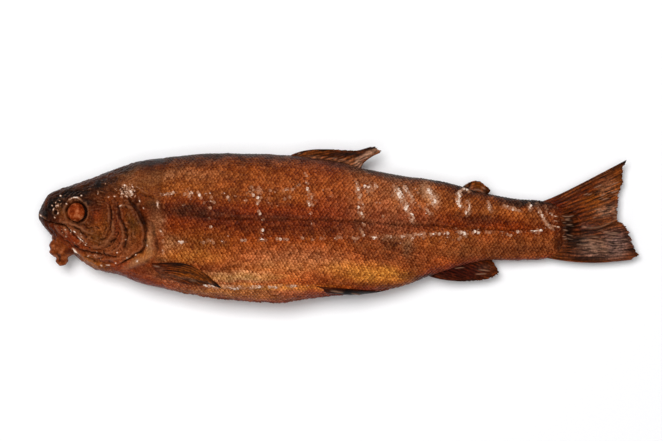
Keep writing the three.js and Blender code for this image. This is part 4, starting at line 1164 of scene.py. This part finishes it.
# Each fin's root and free edge, from its first ray to its last, in shares of LENGTH and DEPTH.
FIN_CORNERS = {
    "tail_fin": (
        [(0.835, 0.165), (0.862, 0.09), (0.87, -0.026), (0.866, -0.15), (0.842, -0.222)],
        [
            (0.983, 0.452), (0.976, 0.39), (0.977, 0.31), (0.97, 0.216), (0.967, 0.106), (0.967, 0.034),
            (0.973, 0.018), (0.984, -0.02), (0.988, -0.078), (0.996, -0.16), (1.003, -0.2), (0.99, -0.24),
        ],
    ),
    "back_fin": (
        [(0.41, 0.455), (0.43, 0.437), (0.48, 0.4), (0.537, 0.36)],
        [
            (0.486, 0.521), (0.51, 0.516), (0.53, 0.513), (0.566, 0.53), (0.571, 0.51), (0.558, 0.475),
            (0.54, 0.43),
        ],
    ),
    "fatty_fin": (
        [(0.712, 0.22), (0.742, 0.185)],
        [
            (0.7065, 0.262), (0.7114, 0.278), (0.7198, 0.298), (0.7281, 0.3065), (0.7365, 0.3),
            (0.7448, 0.276), (0.754, 0.236), (0.748, 0.212),
        ],
    ),
    "vent_fin": (
        [(0.64, -0.33), (0.66, -0.3), (0.69, -0.262), (0.735, -0.22)],
        [(0.7, -0.387), (0.722, -0.386), (0.743, -0.376), (0.768, -0.325), (0.765, -0.292), (0.757, -0.24)],
    ),
    "breast_fin": (
        [(0.178, -0.25), (0.186, -0.29), (0.202, -0.33)],
        [(0.309, -0.43), (0.298, -0.414), (0.286, -0.398), (0.27, -0.4), (0.252, -0.397), (0.236, -0.384)],
    ),
    "belly_fin": (
        [(0.455, -0.41), (0.468, -0.45)],
        [(0.52, -0.432), (0.56, -0.445), (0.576, -0.455), (0.535, -0.476)],
    ),
}
FIN_TINTS = {"amber": "#7a3c0e", "pale": "#b08062", "grey": "#705248", "red": "#4c1003", "char_and_painted_shade": "#0e0705"}

# Dried fin: brown skin between stiff rays, darker where it is thin, sooty or scorched, with painted shade in
# its cracks and grooves and pale painted highlights along its shiny streaks. The patches measure about 6 mm
# and the specks 1.25 mm.
dried_fin, tree = new_material("dried fin")
coords = add(tree, "ShaderNodeTexCoord").outputs["Object"]
read = {
    name: add(tree, "ShaderNodeAttribute", attribute_name=name).outputs["Fac"]
    for name in ("ray", "streak", "soot_and_painted_shade", "rub_and_painted_highlight", "gloss_and_painted_highlight", *FIN_TINTS)
}
patchy = add(tree, "ShaderNodeTexNoise", {"Vector": coords, "Scale": 160.0, "Detail": 4.0, "Roughness": 0.6})
specks = add(tree, "ShaderNodeTexNoise", {"Vector": coords, "Scale": 800.0, "Detail": 3.0, "Roughness": 0.65})
base = add(tree, "ShaderNodeRGB")
base.outputs[0].default_value = linear("#5e2a0c")
for name, code in FIN_TINTS.items():
    strength = add(tree, "ShaderNodeMath", {0: patchy, 1: 1.2, 2: 0.4}, operation="MULTIPLY_ADD")
    strength = add(tree, "ShaderNodeMath", {0: read[name], 1: strength}, operation="MULTIPLY", use_clamp=True)
    base = add(tree, "ShaderNodeMix", {0: strength, 6: base, 7: linear(code)}, data_type="RGBA")
spread = {"From Min": -0.5, "From Max": 0.5, "To Min": 0.55, "To Max": 1.45}
streaky = add(tree, "ShaderNodeMapRange", {"Value": read["streak"], **spread})
spread = {"From Min": 0.36, "From Max": 0.64, "To Min": 0.5, "To Max": 1.5}
shade = add(tree, "ShaderNodeMapRange", {"Value": specks, **spread})
shade = add(tree, "ShaderNodeMath", {0: shade, 1: streaky}, operation="MULTIPLY")
boned = add(tree, "ShaderNodeMapRange", {"Value": read["ray"], "To Min": 0.45, "To Max": 1.25})
shade = add(tree, "ShaderNodeMath", {0: shade, 1: boned}, operation="MULTIPLY")
base = add(tree, "ShaderNodeVectorMath", {0: base, 1: shade}, operation="MULTIPLY")
rubbed_and_lit = add(tree, "ShaderNodeMath", {0: read["rub_and_painted_highlight"], 1: 0.7}, operation="MULTIPLY", use_clamp=True)
base = add(tree, "ShaderNodeMix", {0: rubbed_and_lit, 6: base, 7: linear("#b08468")}, data_type="RGBA")
base = add(tree, "ShaderNodeMix", {0: read["soot_and_painted_shade"], 6: base, 7: linear("#120806")}, data_type="RGBA")
raised = add(tree, "ShaderNodeBump", {"Height": specks, "Strength": 0.6, "Distance": 0.3 * MM})
rough = add(tree, "ShaderNodeMix", {0: read["gloss_and_painted_highlight"], 2: 0.42, 3: 0.16})
brittle = {"Base Color": base, "Roughness": rough, "Normal": raised, "IOR": 1.45, "Specular IOR Level": 0.12}
surface = add(tree, "ShaderNodeBsdfPrincipled", brittle)
add(tree, "ShaderNodeOutputMaterial", {"Surface": surface})


def sheet_faces(columns, rows):
    """Faces of a closed sheet whose two sides are grids of points, the upper one first."""
    count = columns * rows
    at = np.arange(count).reshape(columns, rows)
    a, b, c, d = at[:-1, :-1].ravel(), at[1:, :-1].ravel(), at[1:, 1:].ravel(), at[:-1, 1:].ravel()
    rim = np.r_[at[:-1, 0], at[-1, :-1], at[:0:-1, -1], at[0, :0:-1]]
    ahead = np.roll(rim, -1)
    faces = [np.c_[a, b, c, d], np.c_[a, d, c, b] + count, np.c_[rim, rim + count, ahead + count, ahead]]
    return np.concatenate(faces).tolist()


def is_inside_out(points, faces):
    """Whether the signed volume of a closed piece of quads is negative."""
    a, b, c, d = (points[np.array(faces)[:, i]] for i in range(4))
    return np.sum(a * np.cross(b, c)) + np.sum(a * np.cross(c, d)) < 0


def body_half(x, y, side):
    """How far the plain body's flank stands off its middle at (x, y), and 0 past its outline. side is 1 on
    the left and -1 on the right."""
    line, back, belly, half, _ = section(x)
    power = LEFT_POWER if side > 0 else RIGHT_POWER
    share = np.clip(np.abs(y - line) / np.where(y > line, back, belly), 0, 1)
    return np.where(x < BODY_REAR, half * (1 - share ** (2 / power)) ** (power / 2), 0)


def on_flank(x, y, side):
    """The plain flank's points at (x, y) and its normals."""
    line, back, belly, half, middle = section(x)
    power = LEFT_POWER if side > 0 else RIGHT_POWER
    depth = np.where(y > line, back, belly)
    share = np.clip(np.abs(y - line) / depth, 1e-4, 0.995)
    rise = (1 - share ** (2 / power)) ** (power / 2)
    points = np.stack([x, line + np.sign(y - line) * share * depth, middle + side * half * rise], axis=-1)
    lean = np.sign(y - line) * share ** (2 / power - 1) / depth
    flat = rise ** (2 / power - 1) / half
    normals = np.stack([np.zeros_like(lean), lean, side * flat], axis=-1)
    return points, normals / np.linalg.norm(normals, axis=-1, keepdims=True)


POINTS_A_RAY = 14  # across a fin
LEAST_HALF = 0.06  # of a fin's thickness, at its rim
SHINY_RISE = 0.4  # how far a shiny streak stands out of a fin
SLEEVE_LIFT, SLEEVE_RISE = -0.9, 1.2  # a sleeve starts under the skin and comes out of it
LOWEST_UPPER = 0.06  # above the table, for the upper side of a fin


def fin(
    name, shape, lay, rays, stains, lines=(), shiny=(), thickness=(1.8, 0.5), rib=0.32, ragged=0.05,
    rows=80, bow=(0.0, 1.0), sag=0.0, sleeve=False,
):
    """A fin between the root and the edge of FIN_CORNERS[shape].

    lay(x, y, s, t) gives the middle surface's points and normals, with s from the first ray to the last and
    t from root to edge. stains, lines and shiny lines are as the skin's, the shiny lines pale with painted
    highlights, and thickness is at root and edge.
    rib is how much the rays stand out and ragged how much the edge is worn, both as shares. bow arches the
    first ray upwards, sag drops the last one, and a sleeve wraps the end of the body.
    """
    columns = rays * POINTS_A_RAY + 1
    root, edge = (
        curve_through([place(corner) for corner in corners], columns)
        for corners in FIN_CORNERS[shape]
    )
    s = np.linspace(0, 1, columns)[:, None] + np.zeros((1, rows))
    t = np.linspace(0, 1, rows)[None] + np.zeros((columns, 1))

    # The outline, its edge worn and ragged between the rays.
    here = np.stack([s * 40, np.zeros_like(s), t * 4], axis=-1)
    worn = 0.5 - np.abs(rumple(here, (0.9, 1, 50), 41)) - 0.5 * np.abs(rumple(here, (0.3, 1, 50), 42))
    worn = 1 + ragged * worn * smooth(np.minimum(s, 1 - s), -0.02, 0.07)
    reach = t * (1 + (worn - 1) * smooth(t, 0.5, 1))
    x = root[:, :1] + reach * (edge[:, :1] - root[:, :1])
    y = root[:, 1:] + reach * (edge[:, 1:] - root[:, 1:])
    y = y - sag * np.sin(np.pi * t) * s**5 + bow[0] * np.sin(np.pi * t ** bow[1]) * (1 - s) ** 1.3
    middle, normals = lay(x, y, s, t)

    # The rays, twice as many towards the edge, and how thick they leave the fin.
    waver = s + 0.012 * rumple(here, (3, 1, 0.7), 43)
    coarse = 0.5 + 0.5 * np.cos(2 * np.pi * rays * waver)
    fine = 0.5 + 0.5 * np.cos(4 * np.pi * rays * waver)
    ridge = coarse + 0.7 * (fine - coarse) * smooth(t, 0.5, 0.9)
    rim = np.clip(np.minimum(np.minimum(s, 1 - s) * columns / 8, (1 - t) * rows / 6), 0, 1) ** 0.5
    inner = (thickness[0] + (thickness[1] - thickness[0]) * t) / 2
    half = inner * (1 - rib + rib * ridge) * rim + LEAST_HALF

    # The dried skin has cockled, and the drawn lines and the shiny streaks stand out of it.
    cockle = 0.22 * rumple(middle, (5, 5, 50), 44) * t + 0.1 * rumple(middle, (1.6, 1.6, 50), 45)
    height, soot_and_painted_shade, rub_and_painted_highlight = drawn(lines, x, y)
    shiny_height, _, gloss_and_painted_highlight = drawn([(width, SHINY_RISE, -1.0, run) for width, run in shiny], x, y)
    cockle = cockle + (height + shiny_height) * rim
    above, below = half, half
    if sleeve:
        lift = SLEEVE_LIFT + SLEEVE_RISE * smooth(t, 0.02, 0.13)
        above = np.maximum(half, body_half(x, y, 1) + lift + 0.4 * half * ridge)
        below = np.maximum(half, body_half(x, y, -1) + lift + 0.4 * half * ridge)
    upper = middle + normals * (above + cockle)[..., None]
    lower = middle + normals * (cockle - below)[..., None]
    upper[..., 2] = np.maximum(upper[..., 2], LOWEST_UPPER)
    lower[..., 2] = np.maximum(lower[..., 2], LOWEST)
    points = np.concatenate([upper.reshape(-1, 3), lower.reshape(-1, 3)])
    faces = sheet_faces(columns, rows)
    if is_inside_out(points, faces):
        faces = [face[::-1] for face in faces]
    piece = new_piece(name, points, faces, dried_fin)
    streak = rumple(np.stack([s * rays * 4.4, np.zeros_like(s), t * 14], axis=-1), 1, 46)
    # The shiny streaks are painted pale, as highlights.
    values = {
        "ray": 0.6 + (ridge - 0.6) * smooth(t, 0.05, 0.22),
        "streak": streak,
        "soot_and_painted_shade": soot_and_painted_shade,
        "rub_and_painted_highlight": np.maximum(rub_and_painted_highlight, 0.7 * gloss_and_painted_highlight),
        "gloss_and_painted_highlight": gloss_and_painted_highlight,
    }
    for tint in FIN_TINTS:
        values[tint] = stain(stains.get(tint, ()), x + rumple(middle, 5, 47), y + rumple(middle, 5, 48))
    for key, value in values.items():
        set_value(piece, key, np.r_[value.ravel(), value.ravel()])


def upright(lean, wave=0.9, step=None):
    """How a fin lies that stands in the fish's middle plane: its free edge leans up or down and waves. A
    step, at a share of the rays and of a height, is where one lobe lies over the other."""

    def lay(x, y, s, t):
        inner = np.clip(x, *(place((share, 0))[0] for share in (0.02, 0.9)))
        z = section(inner)[4] + lean * t + wave * t * np.sin(9 * s + 2.5 * t)
        if step:
            at, rise = step
            over = rise * smooth(s, at - 0.012, at + 0.004)
            z = z + over * smooth(t, 0.1, 0.5) * (1 - smooth(s, at, 0.95))
        return np.stack([x, y, z], axis=-1), np.broadcast_to([0.0, 0, 1], x.shape + (3,))

    return lay


ROOT_SUNK = 1.6  # how far the root of a fin that lies back is under the skin


def against(side, lift):
    """How a fin lies back against a flank: lifted off it, with its root sunk into it."""

    def lay(x, y, s, t):
        points, normals = on_flank(x, y, side)
        off = lift - (lift + ROOT_SUNK) * (1 - smooth(t, 0, 0.22))
        return points + normals * off[..., None], normals

    return lay


# The tail has dried hard, with short cracks along its rays, darkened with painted shade, and shiny streaks
# with painted highlights. Each cluster: how many, centre, spread.
TAIL_STREAKS = [
    (54, (177, -11), (10, 7)),
    (20, (181, 9), (7, 4)),
    (14, (154, -4), (3, 9)),
    (24, (176, 22), (10, 10)),
]
RAYS_MEET = (105, -3)  # inside the body, where the tail's rays would meet
random = np.random.default_rng(75)
tail_cracks, tail_highlight_streaks = [], []
for count, centre, spread in TAIL_STREAKS:
    for _ in range(count):
        start = centre + random.normal(0, 0.7, 2) * spread
        way = (start - RAYS_MEET) / np.hypot(*(start - RAYS_MEET))
        run = [tuple(start), tuple(start + way * random.uniform(2, 6))]
        if random.uniform() < 0.5:
            tail_highlight_streaks.append((random.uniform(0.25, 0.45), run))
        else:
            tail_cracks.append((random.uniform(0.3, 0.45), -0.35, 1.0, run))

# In the fins below, the shiny lines are painted highlights and the dark lines soot and painted shade.
fin(
    "tail_fin",
    "tail_fin",
    upright(0.0, step=(0.6, 1.6)),
    20,
    {
        "amber": [(172, 22, 24, 13, 35, 0.9), (183, 0, 9, 3.5, 10, 0.5)],
        "red": [
            (146, 12, 10, 7, 20, 0.8), (160, 9, 9, 8, 10, 0.6), (165, -2, 10, 4, 0, 0.4),
            (165, 22, 22, 4, 31, 0.6),
        ],
        "pale": [
            (180, 10, 7, 3.5, 15, 0.4), (172, -15, 12, 6, -12, 0.6), (186, -17, 7, 4, 0, 0.4),
            (179, 26, 7, 5, 50, 0.25),
        ],
        "grey": [
            (186, -13, 10, 9, 0, 0.95), (171, -15, 10, 6, -10, 0.6), (166, -2, 5, 3, 0, 0.4),
            (176, -20, 16, 3, -4, 0.6),
        ],
        "char_and_painted_shade": [
            (154.5, -2, 5, 11, 0, 0.95), (160, -11, 9, 6, -20, 0.85), (158, 6, 5, 6, 0, 0.5),
            (191.5, 42, 4, 2.5, 35, 1.0), (197, -16, 2, 4, 40, 0.7), (193, -7, 2, 3, 30, 0.6),
            (167, -22.5, 14, 1.6, -4, 0.8), (170, 29, 26, 1.3, 31, 0.5), (160, -6, 10, 3, -10, 0.4),
        ],
    },
    lines=[
        (0.6, 0.3, 0.8, [(138, 17.5), (148, 20.5), (156, 24.5), (168, 31), (179, 36.7), (189, 42)]),
        (0.7, 0.9, -0.4, [(164, -2), (171, -1.9), (176.5, -1), (181, 1), (186, 3.6)]),
        (0.7, -0.6, 1.0, [(160, -2), (167, -4), (173, -3.4), (178, -1.8), (184, 0.8), (187.5, 2)]),
        (0.6, -0.4, 0.8, [(162, -8), (170, -7.4), (177, -6.5), (183, -6)]),
        (0.5, 0.4, -0.5, [(162, -10.5), (170, -10.3), (178, -11.5)]),
        (0.5, 0.4, -0.5, [(160, -13), (168, -14), (176, -16), (181, -18.5)]),
        (0.5, -0.4, 0.7, [(160, -16), (167, -17.6), (173, -20)]),
        *tail_cracks,
    ],
    shiny=[
        (0.4, [(150, 5.9), (154, 5.6), (157.5, 6.4)]),
        (0.4, [(152, 3.3), (156, 3)]),
        (0.3, [(154, -0.2), (157.5, -0.8)]),
        (0.35, [(150.5, -3.2), (153.5, -3.8)]),
        (0.3, [(153, -6.5), (157, -7.4)]),
        (0.35, [(151, -9.6), (153, -9)]),
        (0.3, [(150, 1.4), (152.5, 1.6)]),
        (0.5, [(163.5, -1.2), (166.5, -1.4)]),
        (0.5, [(168, -2.2), (171, -1.9)]),
        (0.3, [(173, 8.6), (179, 10)]),
        (0.35, [(176, 6), (182, 7.6)]),
        (0.3, [(170.5, 4.6), (173, 5.4)]),
        (0.3, [(180, 11), (184, 12.4)]),
        (0.3, [(168, -10), (172, -10.6)]),
        (0.3, [(175, -13), (178, -12)]),
        (0.3, [(181, -9), (183, -11)]),
        (0.3, [(170, -15), (173, -16.4)]),
        (0.3, [(186, -16), (188, -14)]),
        (0.3, [(177, -18), (181, -17.4)]),
        *tail_highlight_streaks,
    ],
    ragged=0.035,
    rows=110,
    bow=(-1.9, 0.5),
    sag=2.8,
    sleeve=True,
)
fin(
    "back_fin",
    "back_fin",
    upright(2),
    12,
    {
        "amber": [(-17, 45.5, 12, 5, 8, 0.9), (0, 43.5, 18, 3.5, -8, 0.8), (24, 48.5, 4, 2, 30, 0.9)],
        "char_and_painted_shade": [
            (5, 47.2, 13, 2.2, -2, 0.9), (-24, 48.6, 6, 1.3, 18, 0.8), (-12, 50.6, 9, 1.1, 0, 0.9),
            (21, 50.6, 8, 1, 14, 0.9),
        ],
        "pale": [
            (-6, 43, 18, 2.6, -6, 0.3), (13, 42, 3.5, 2.6, 45, 0.8), (20, 47, 6, 1.8, 35, 0.9),
            (25, 49.5, 2.6, 1.4, 30, 0.8),
        ],
        "grey": [(14, 38, 4, 3, 30, 0.5), (17, 45, 4, 2, 40, 0.5)],
        "red": [(-6, 44, 14, 4, -10, 0.35)],
    },
    lines=[
        (0.5, -0.4, 0.8, [(-24, 46), (-10, 46.6), (2, 44)]),
        (0.5, -0.4, 0.8, [(-14, 44), (-2, 42.2), (8, 40)]),
    ],
    shiny=[
        (0.5, [(10, 40), (13, 43), (17, 46), (21, 48.4)]), (0.5, [(18, 45.6), (21, 47.4), (24, 48.6)]),
        (0.4, [(13.8, 37.8), (16, 41)]), (0.35, [(-4, 44.4), (-1, 44.6)]), (0.35, [(1, 43.6), (4, 43.4)]),
        (0.35, [(-27, 47), (-25, 48)]), (0.35, [(22.5, 50), (26, 51)]),
    ],
    bow=(2.7, 0.8),
)
fin(
    "fatty_fin",
    "fatty_fin",
    upright(2),
    3,
    {
        "amber": [(93, 26, 6, 4, -20, 0.8)],
        "char_and_painted_shade": [(84, 27, 3, 4, 30, 0.8), (99, 23, 4, 3, -40, 0.6), (90, 30, 6, 1.5, 0, 0.6)],
        "pale": [(86, 23.5, 4, 1.6, 20, 0.5)],
        "red": [(92, 22, 6, 3, -10, 0.5)],
    },
    lines=[
        (0.6, -0.6, 0.9, [(84, 23), (87.5, 25.5), (89, 29)]),
        (0.6, 0.5, -0.5, [(88, 22.5), (93, 23.5), (97.5, 21.5)]),
    ],
    shiny=[(0.6, [(96, 25.2), (98, 24)]), (0.5, [(84.5, 26.3), (86.5, 28)])],
    thickness=(3.6, 1.6),
    rib=0.05,
    rows=50,
)
fin(
    "vent_fin",
    "vent_fin",
    upright(-1),
    13,
    {
        "red": [(80, -30, 24, 9, 0, 1.0)],
        "amber": [(94, -31, 10, 5, 0, 0.4)],
        "pale": [(97, -29, 5, 2, 10, 0.4), (70, -29, 5, 2, 20, 0.3)],
        "char_and_painted_shade": [
            (80, -30, 26, 10, 0, 0.55), (82, -37.5, 16, 1.3, 4, 0.8), (99, -32, 5, 3, 30, 0.3),
            (84, -22.5, 16, 2.4, 22, 0.9), (64, -33, 8, 3, 10, 0.6),
        ],
    },
    shiny=[
        (0.5, [(62, -30.5), (66, -28.5)]), (0.4, [(94, -30), (101, -30.6)]),
        (0.4, [(92, -33), (99, -32.6)]), (0.3, [(78, -29), (84, -28.4)]),
    ],
    bow=(-1.4, 0.8),
)
leading_edge = [
    (-118, -24.6), (-108, -24.6), (-97, -25.6), (-90, -28.5), (-85, -31.6), (-80.3, -36.7), (-76.6, -41),
]
for side_name, side in (("left", 1), ("right", -1)):
    fin(
        f"breast_fin_{side_name}",
        "breast_fin",
        against(side, 1.0),
        10,
        {
            "char_and_painted_shade": [
                (-79, -39, 5, 3.5, -50, 0.95), (-100, -25.6, 24, 1.5, -3, 0.8),
                (-86, -31, 6, 2.2, -42, 0.95), (-92, -37, 7, 1.6, -14, 0.5),
            ],
            "amber": [(-100, -33, 26, 5, -12, 0.9), (-90, -32, 8, 3.5, -30, 0.5)],
            "red": [(-120, -28, 14, 5, -12, 0.7), (-106, -36, 14, 3, -14, 0.6)],
            "pale": [(-117, -29, 3, 1.6, 0, 0.4), (-104, -34, 16, 1, -12, 0.3)],
        },
        lines=[
            (0.8, 0.5, 0.9, leading_edge),
            (0.5, -0.4, 0.6, [(-118, -28), (-108, -30), (-97, -31.5), (-88, -35)]),
            (0.6, -0.4, 0.7, [(-99, -35.2), (-92, -36.6), (-86, -38), (-80, -40)]),
            (0.5, 0.3, -0.3, [(-123, -30), (-112, -35), (-104, -37.4)]),
            (0.5, -0.4, 0.5, [(-118, -31), (-106, -34), (-98, -37)]),
        ],
        shiny=[
            (0.5, [(-98, -35.5), (-94, -36.5)]), (0.5, [(-86, -37.5), (-83, -39)]),
            (0.5, [(-122, -26.7), (-118, -26.9)]),
        ],
        thickness=(1.8, 0.6),
        rows=120,
        bow=(8.5, 1.3),
    )
    fin(
        f"belly_fin_{side_name}",
        "belly_fin",
        against(side, 0.9),
        7,
        {"char_and_painted_shade": [(14, -44.5, 26, 4, -4, 1.0)], "red": [(0, -43, 20, 4, 0, 0.6)]},
        shiny=[(0.5, [(-5, -42.5), (3, -43.6)]), (0.4, [(9, -44.3), (15, -45)])],
        thickness=(1.6, 0.6),
    )

# ---- throat ------------------------------------------------------------------------------------------
# The flesh of the throat, torn when the gills were pulled out, has dried into a knobbly lump that hangs
# out under the lower jaw.

# Each lobe: its place in shares of LENGTH and DEPTH, and its radii in millimetres.
THROAT_LOBES = [
    ((0.039, -0.089), (7, 5, 5.5)),
    ((0.0322, -0.144), (5.6, 5.6, 5.5)),
    ((0.0288, -0.174), (4.2, 3.8, 4.4)),
    ((0.048, -0.15), (6, 6, 5.3)),
    ((0.0385, -0.196), (4.4, 4.4, 4.4)),
    ((0.0389, -0.236), (3.9, 4.3, 4.0)),
]
LUMP_VOXEL = 0.45
LOBE_RINGS, LOBE_POINTS = 14, 24
KNOBS = [(0.7, 3.0), (0.6, 1.5)]  # height and size of the large ones and the small ones
FLESH_COLOURS = [(0.34, "#4a1a08"), (0.5, "#74330f"), (0.66, "#a65f38")]

# Dried flesh: matt orange brown, with painted shade in the hollows between its knobs. The blotches measure
# about 4 mm and the specks 0.8 mm.
dried_flesh, tree = new_material("dried throat flesh")
coords = add(tree, "ShaderNodeTexCoord").outputs["Object"]
hollow = add(tree, "ShaderNodeAttribute", attribute_name="soot_and_painted_shade").outputs["Fac"]
pattern = {"Vector": coords, "Scale": 260.0, "Detail": 5.0, "Roughness": 0.65}
blotches = add(tree, "ShaderNodeTexNoise", pattern)
specks = add(tree, "ShaderNodeTexNoise", {"Vector": coords, "Scale": 1200.0, "Detail": 3.0})
ramp = add(tree, "ShaderNodeValToRGB", {"Fac": blotches})
ramp.color_ramp.elements.new(0.5)
for stop, (at, code) in zip(ramp.color_ramp.elements, FLESH_COLOURS):
    stop.position, stop.color = at, linear(code)
base = add(tree, "ShaderNodeMix", {0: hollow, 6: ramp, 7: linear("#2c0e05")}, data_type="RGBA")
raised = add(tree, "ShaderNodeBump", {"Height": specks, "Strength": 0.7, "Distance": 0.4 * MM})
dry = {"Base Color": base, "Roughness": 0.42, "Normal": raised, "IOR": 1.4, "Specular IOR Level": 0.15}
surface = add(tree, "ShaderNodeBsdfPrincipled", dry)
add(tree, "ShaderNodeOutputMaterial", {"Surface": surface})


def fused(points, faces, voxel):
    """Points, normals and faces of overlapping closed shapes made one by a voxel remesh."""
    mesh = bpy.data.meshes.new("fused")
    mesh.from_pydata(points.tolist(), [], faces)
    holder = link(bpy.data.objects.new("fused", mesh))
    remesh = holder.modifiers.new("fuse", "REMESH")
    remesh.mode, remesh.voxel_size = "VOXEL", voxel
    made = bpy.data.meshes.new_from_object(holder.evaluated_get(bpy.context.evaluated_depsgraph_get()))
    points, normals = (np.zeros(len(made.vertices) * 3) for _ in range(2))
    made.vertices.foreach_get("co", points)
    made.vertices.foreach_get("normal", normals)
    faces = [tuple(face.vertices) for face in made.polygons]
    bpy.data.objects.remove(holder)
    return points.reshape(-1, 3), normals.reshape(-1, 3), faces


lobe, lobe_faces = ball(LOBE_RINGS, LOBE_POINTS)
all_points, all_faces = [], []
for centre, size in THROAT_LOBES:
    lobe_x, lobe_y = place(centre)
    offset = len(all_points) * len(lobe)
    all_points.append(lobe * size + (lobe_x, lobe_y, section(lobe_x)[4]))
    all_faces += [tuple(i + offset for i in face) for face in lobe_faces]
lump, lump_normals, lump_faces = fused(np.concatenate(all_points), all_faces, LUMP_VOXEL)
knobs = sum(rise * rumple(lump, size, 51 + k) for k, (rise, size) in enumerate(KNOBS))
knobbly = lump + lump_normals * knobs[:, None]
throat = new_piece("throat_lump", knobbly, lump_faces, dried_flesh)
# The hollows between the knobs get painted shade.
set_value(throat, "soot_and_painted_shade", 0.9 * smooth(-knobs, 0.2, 1.0))

low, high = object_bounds()
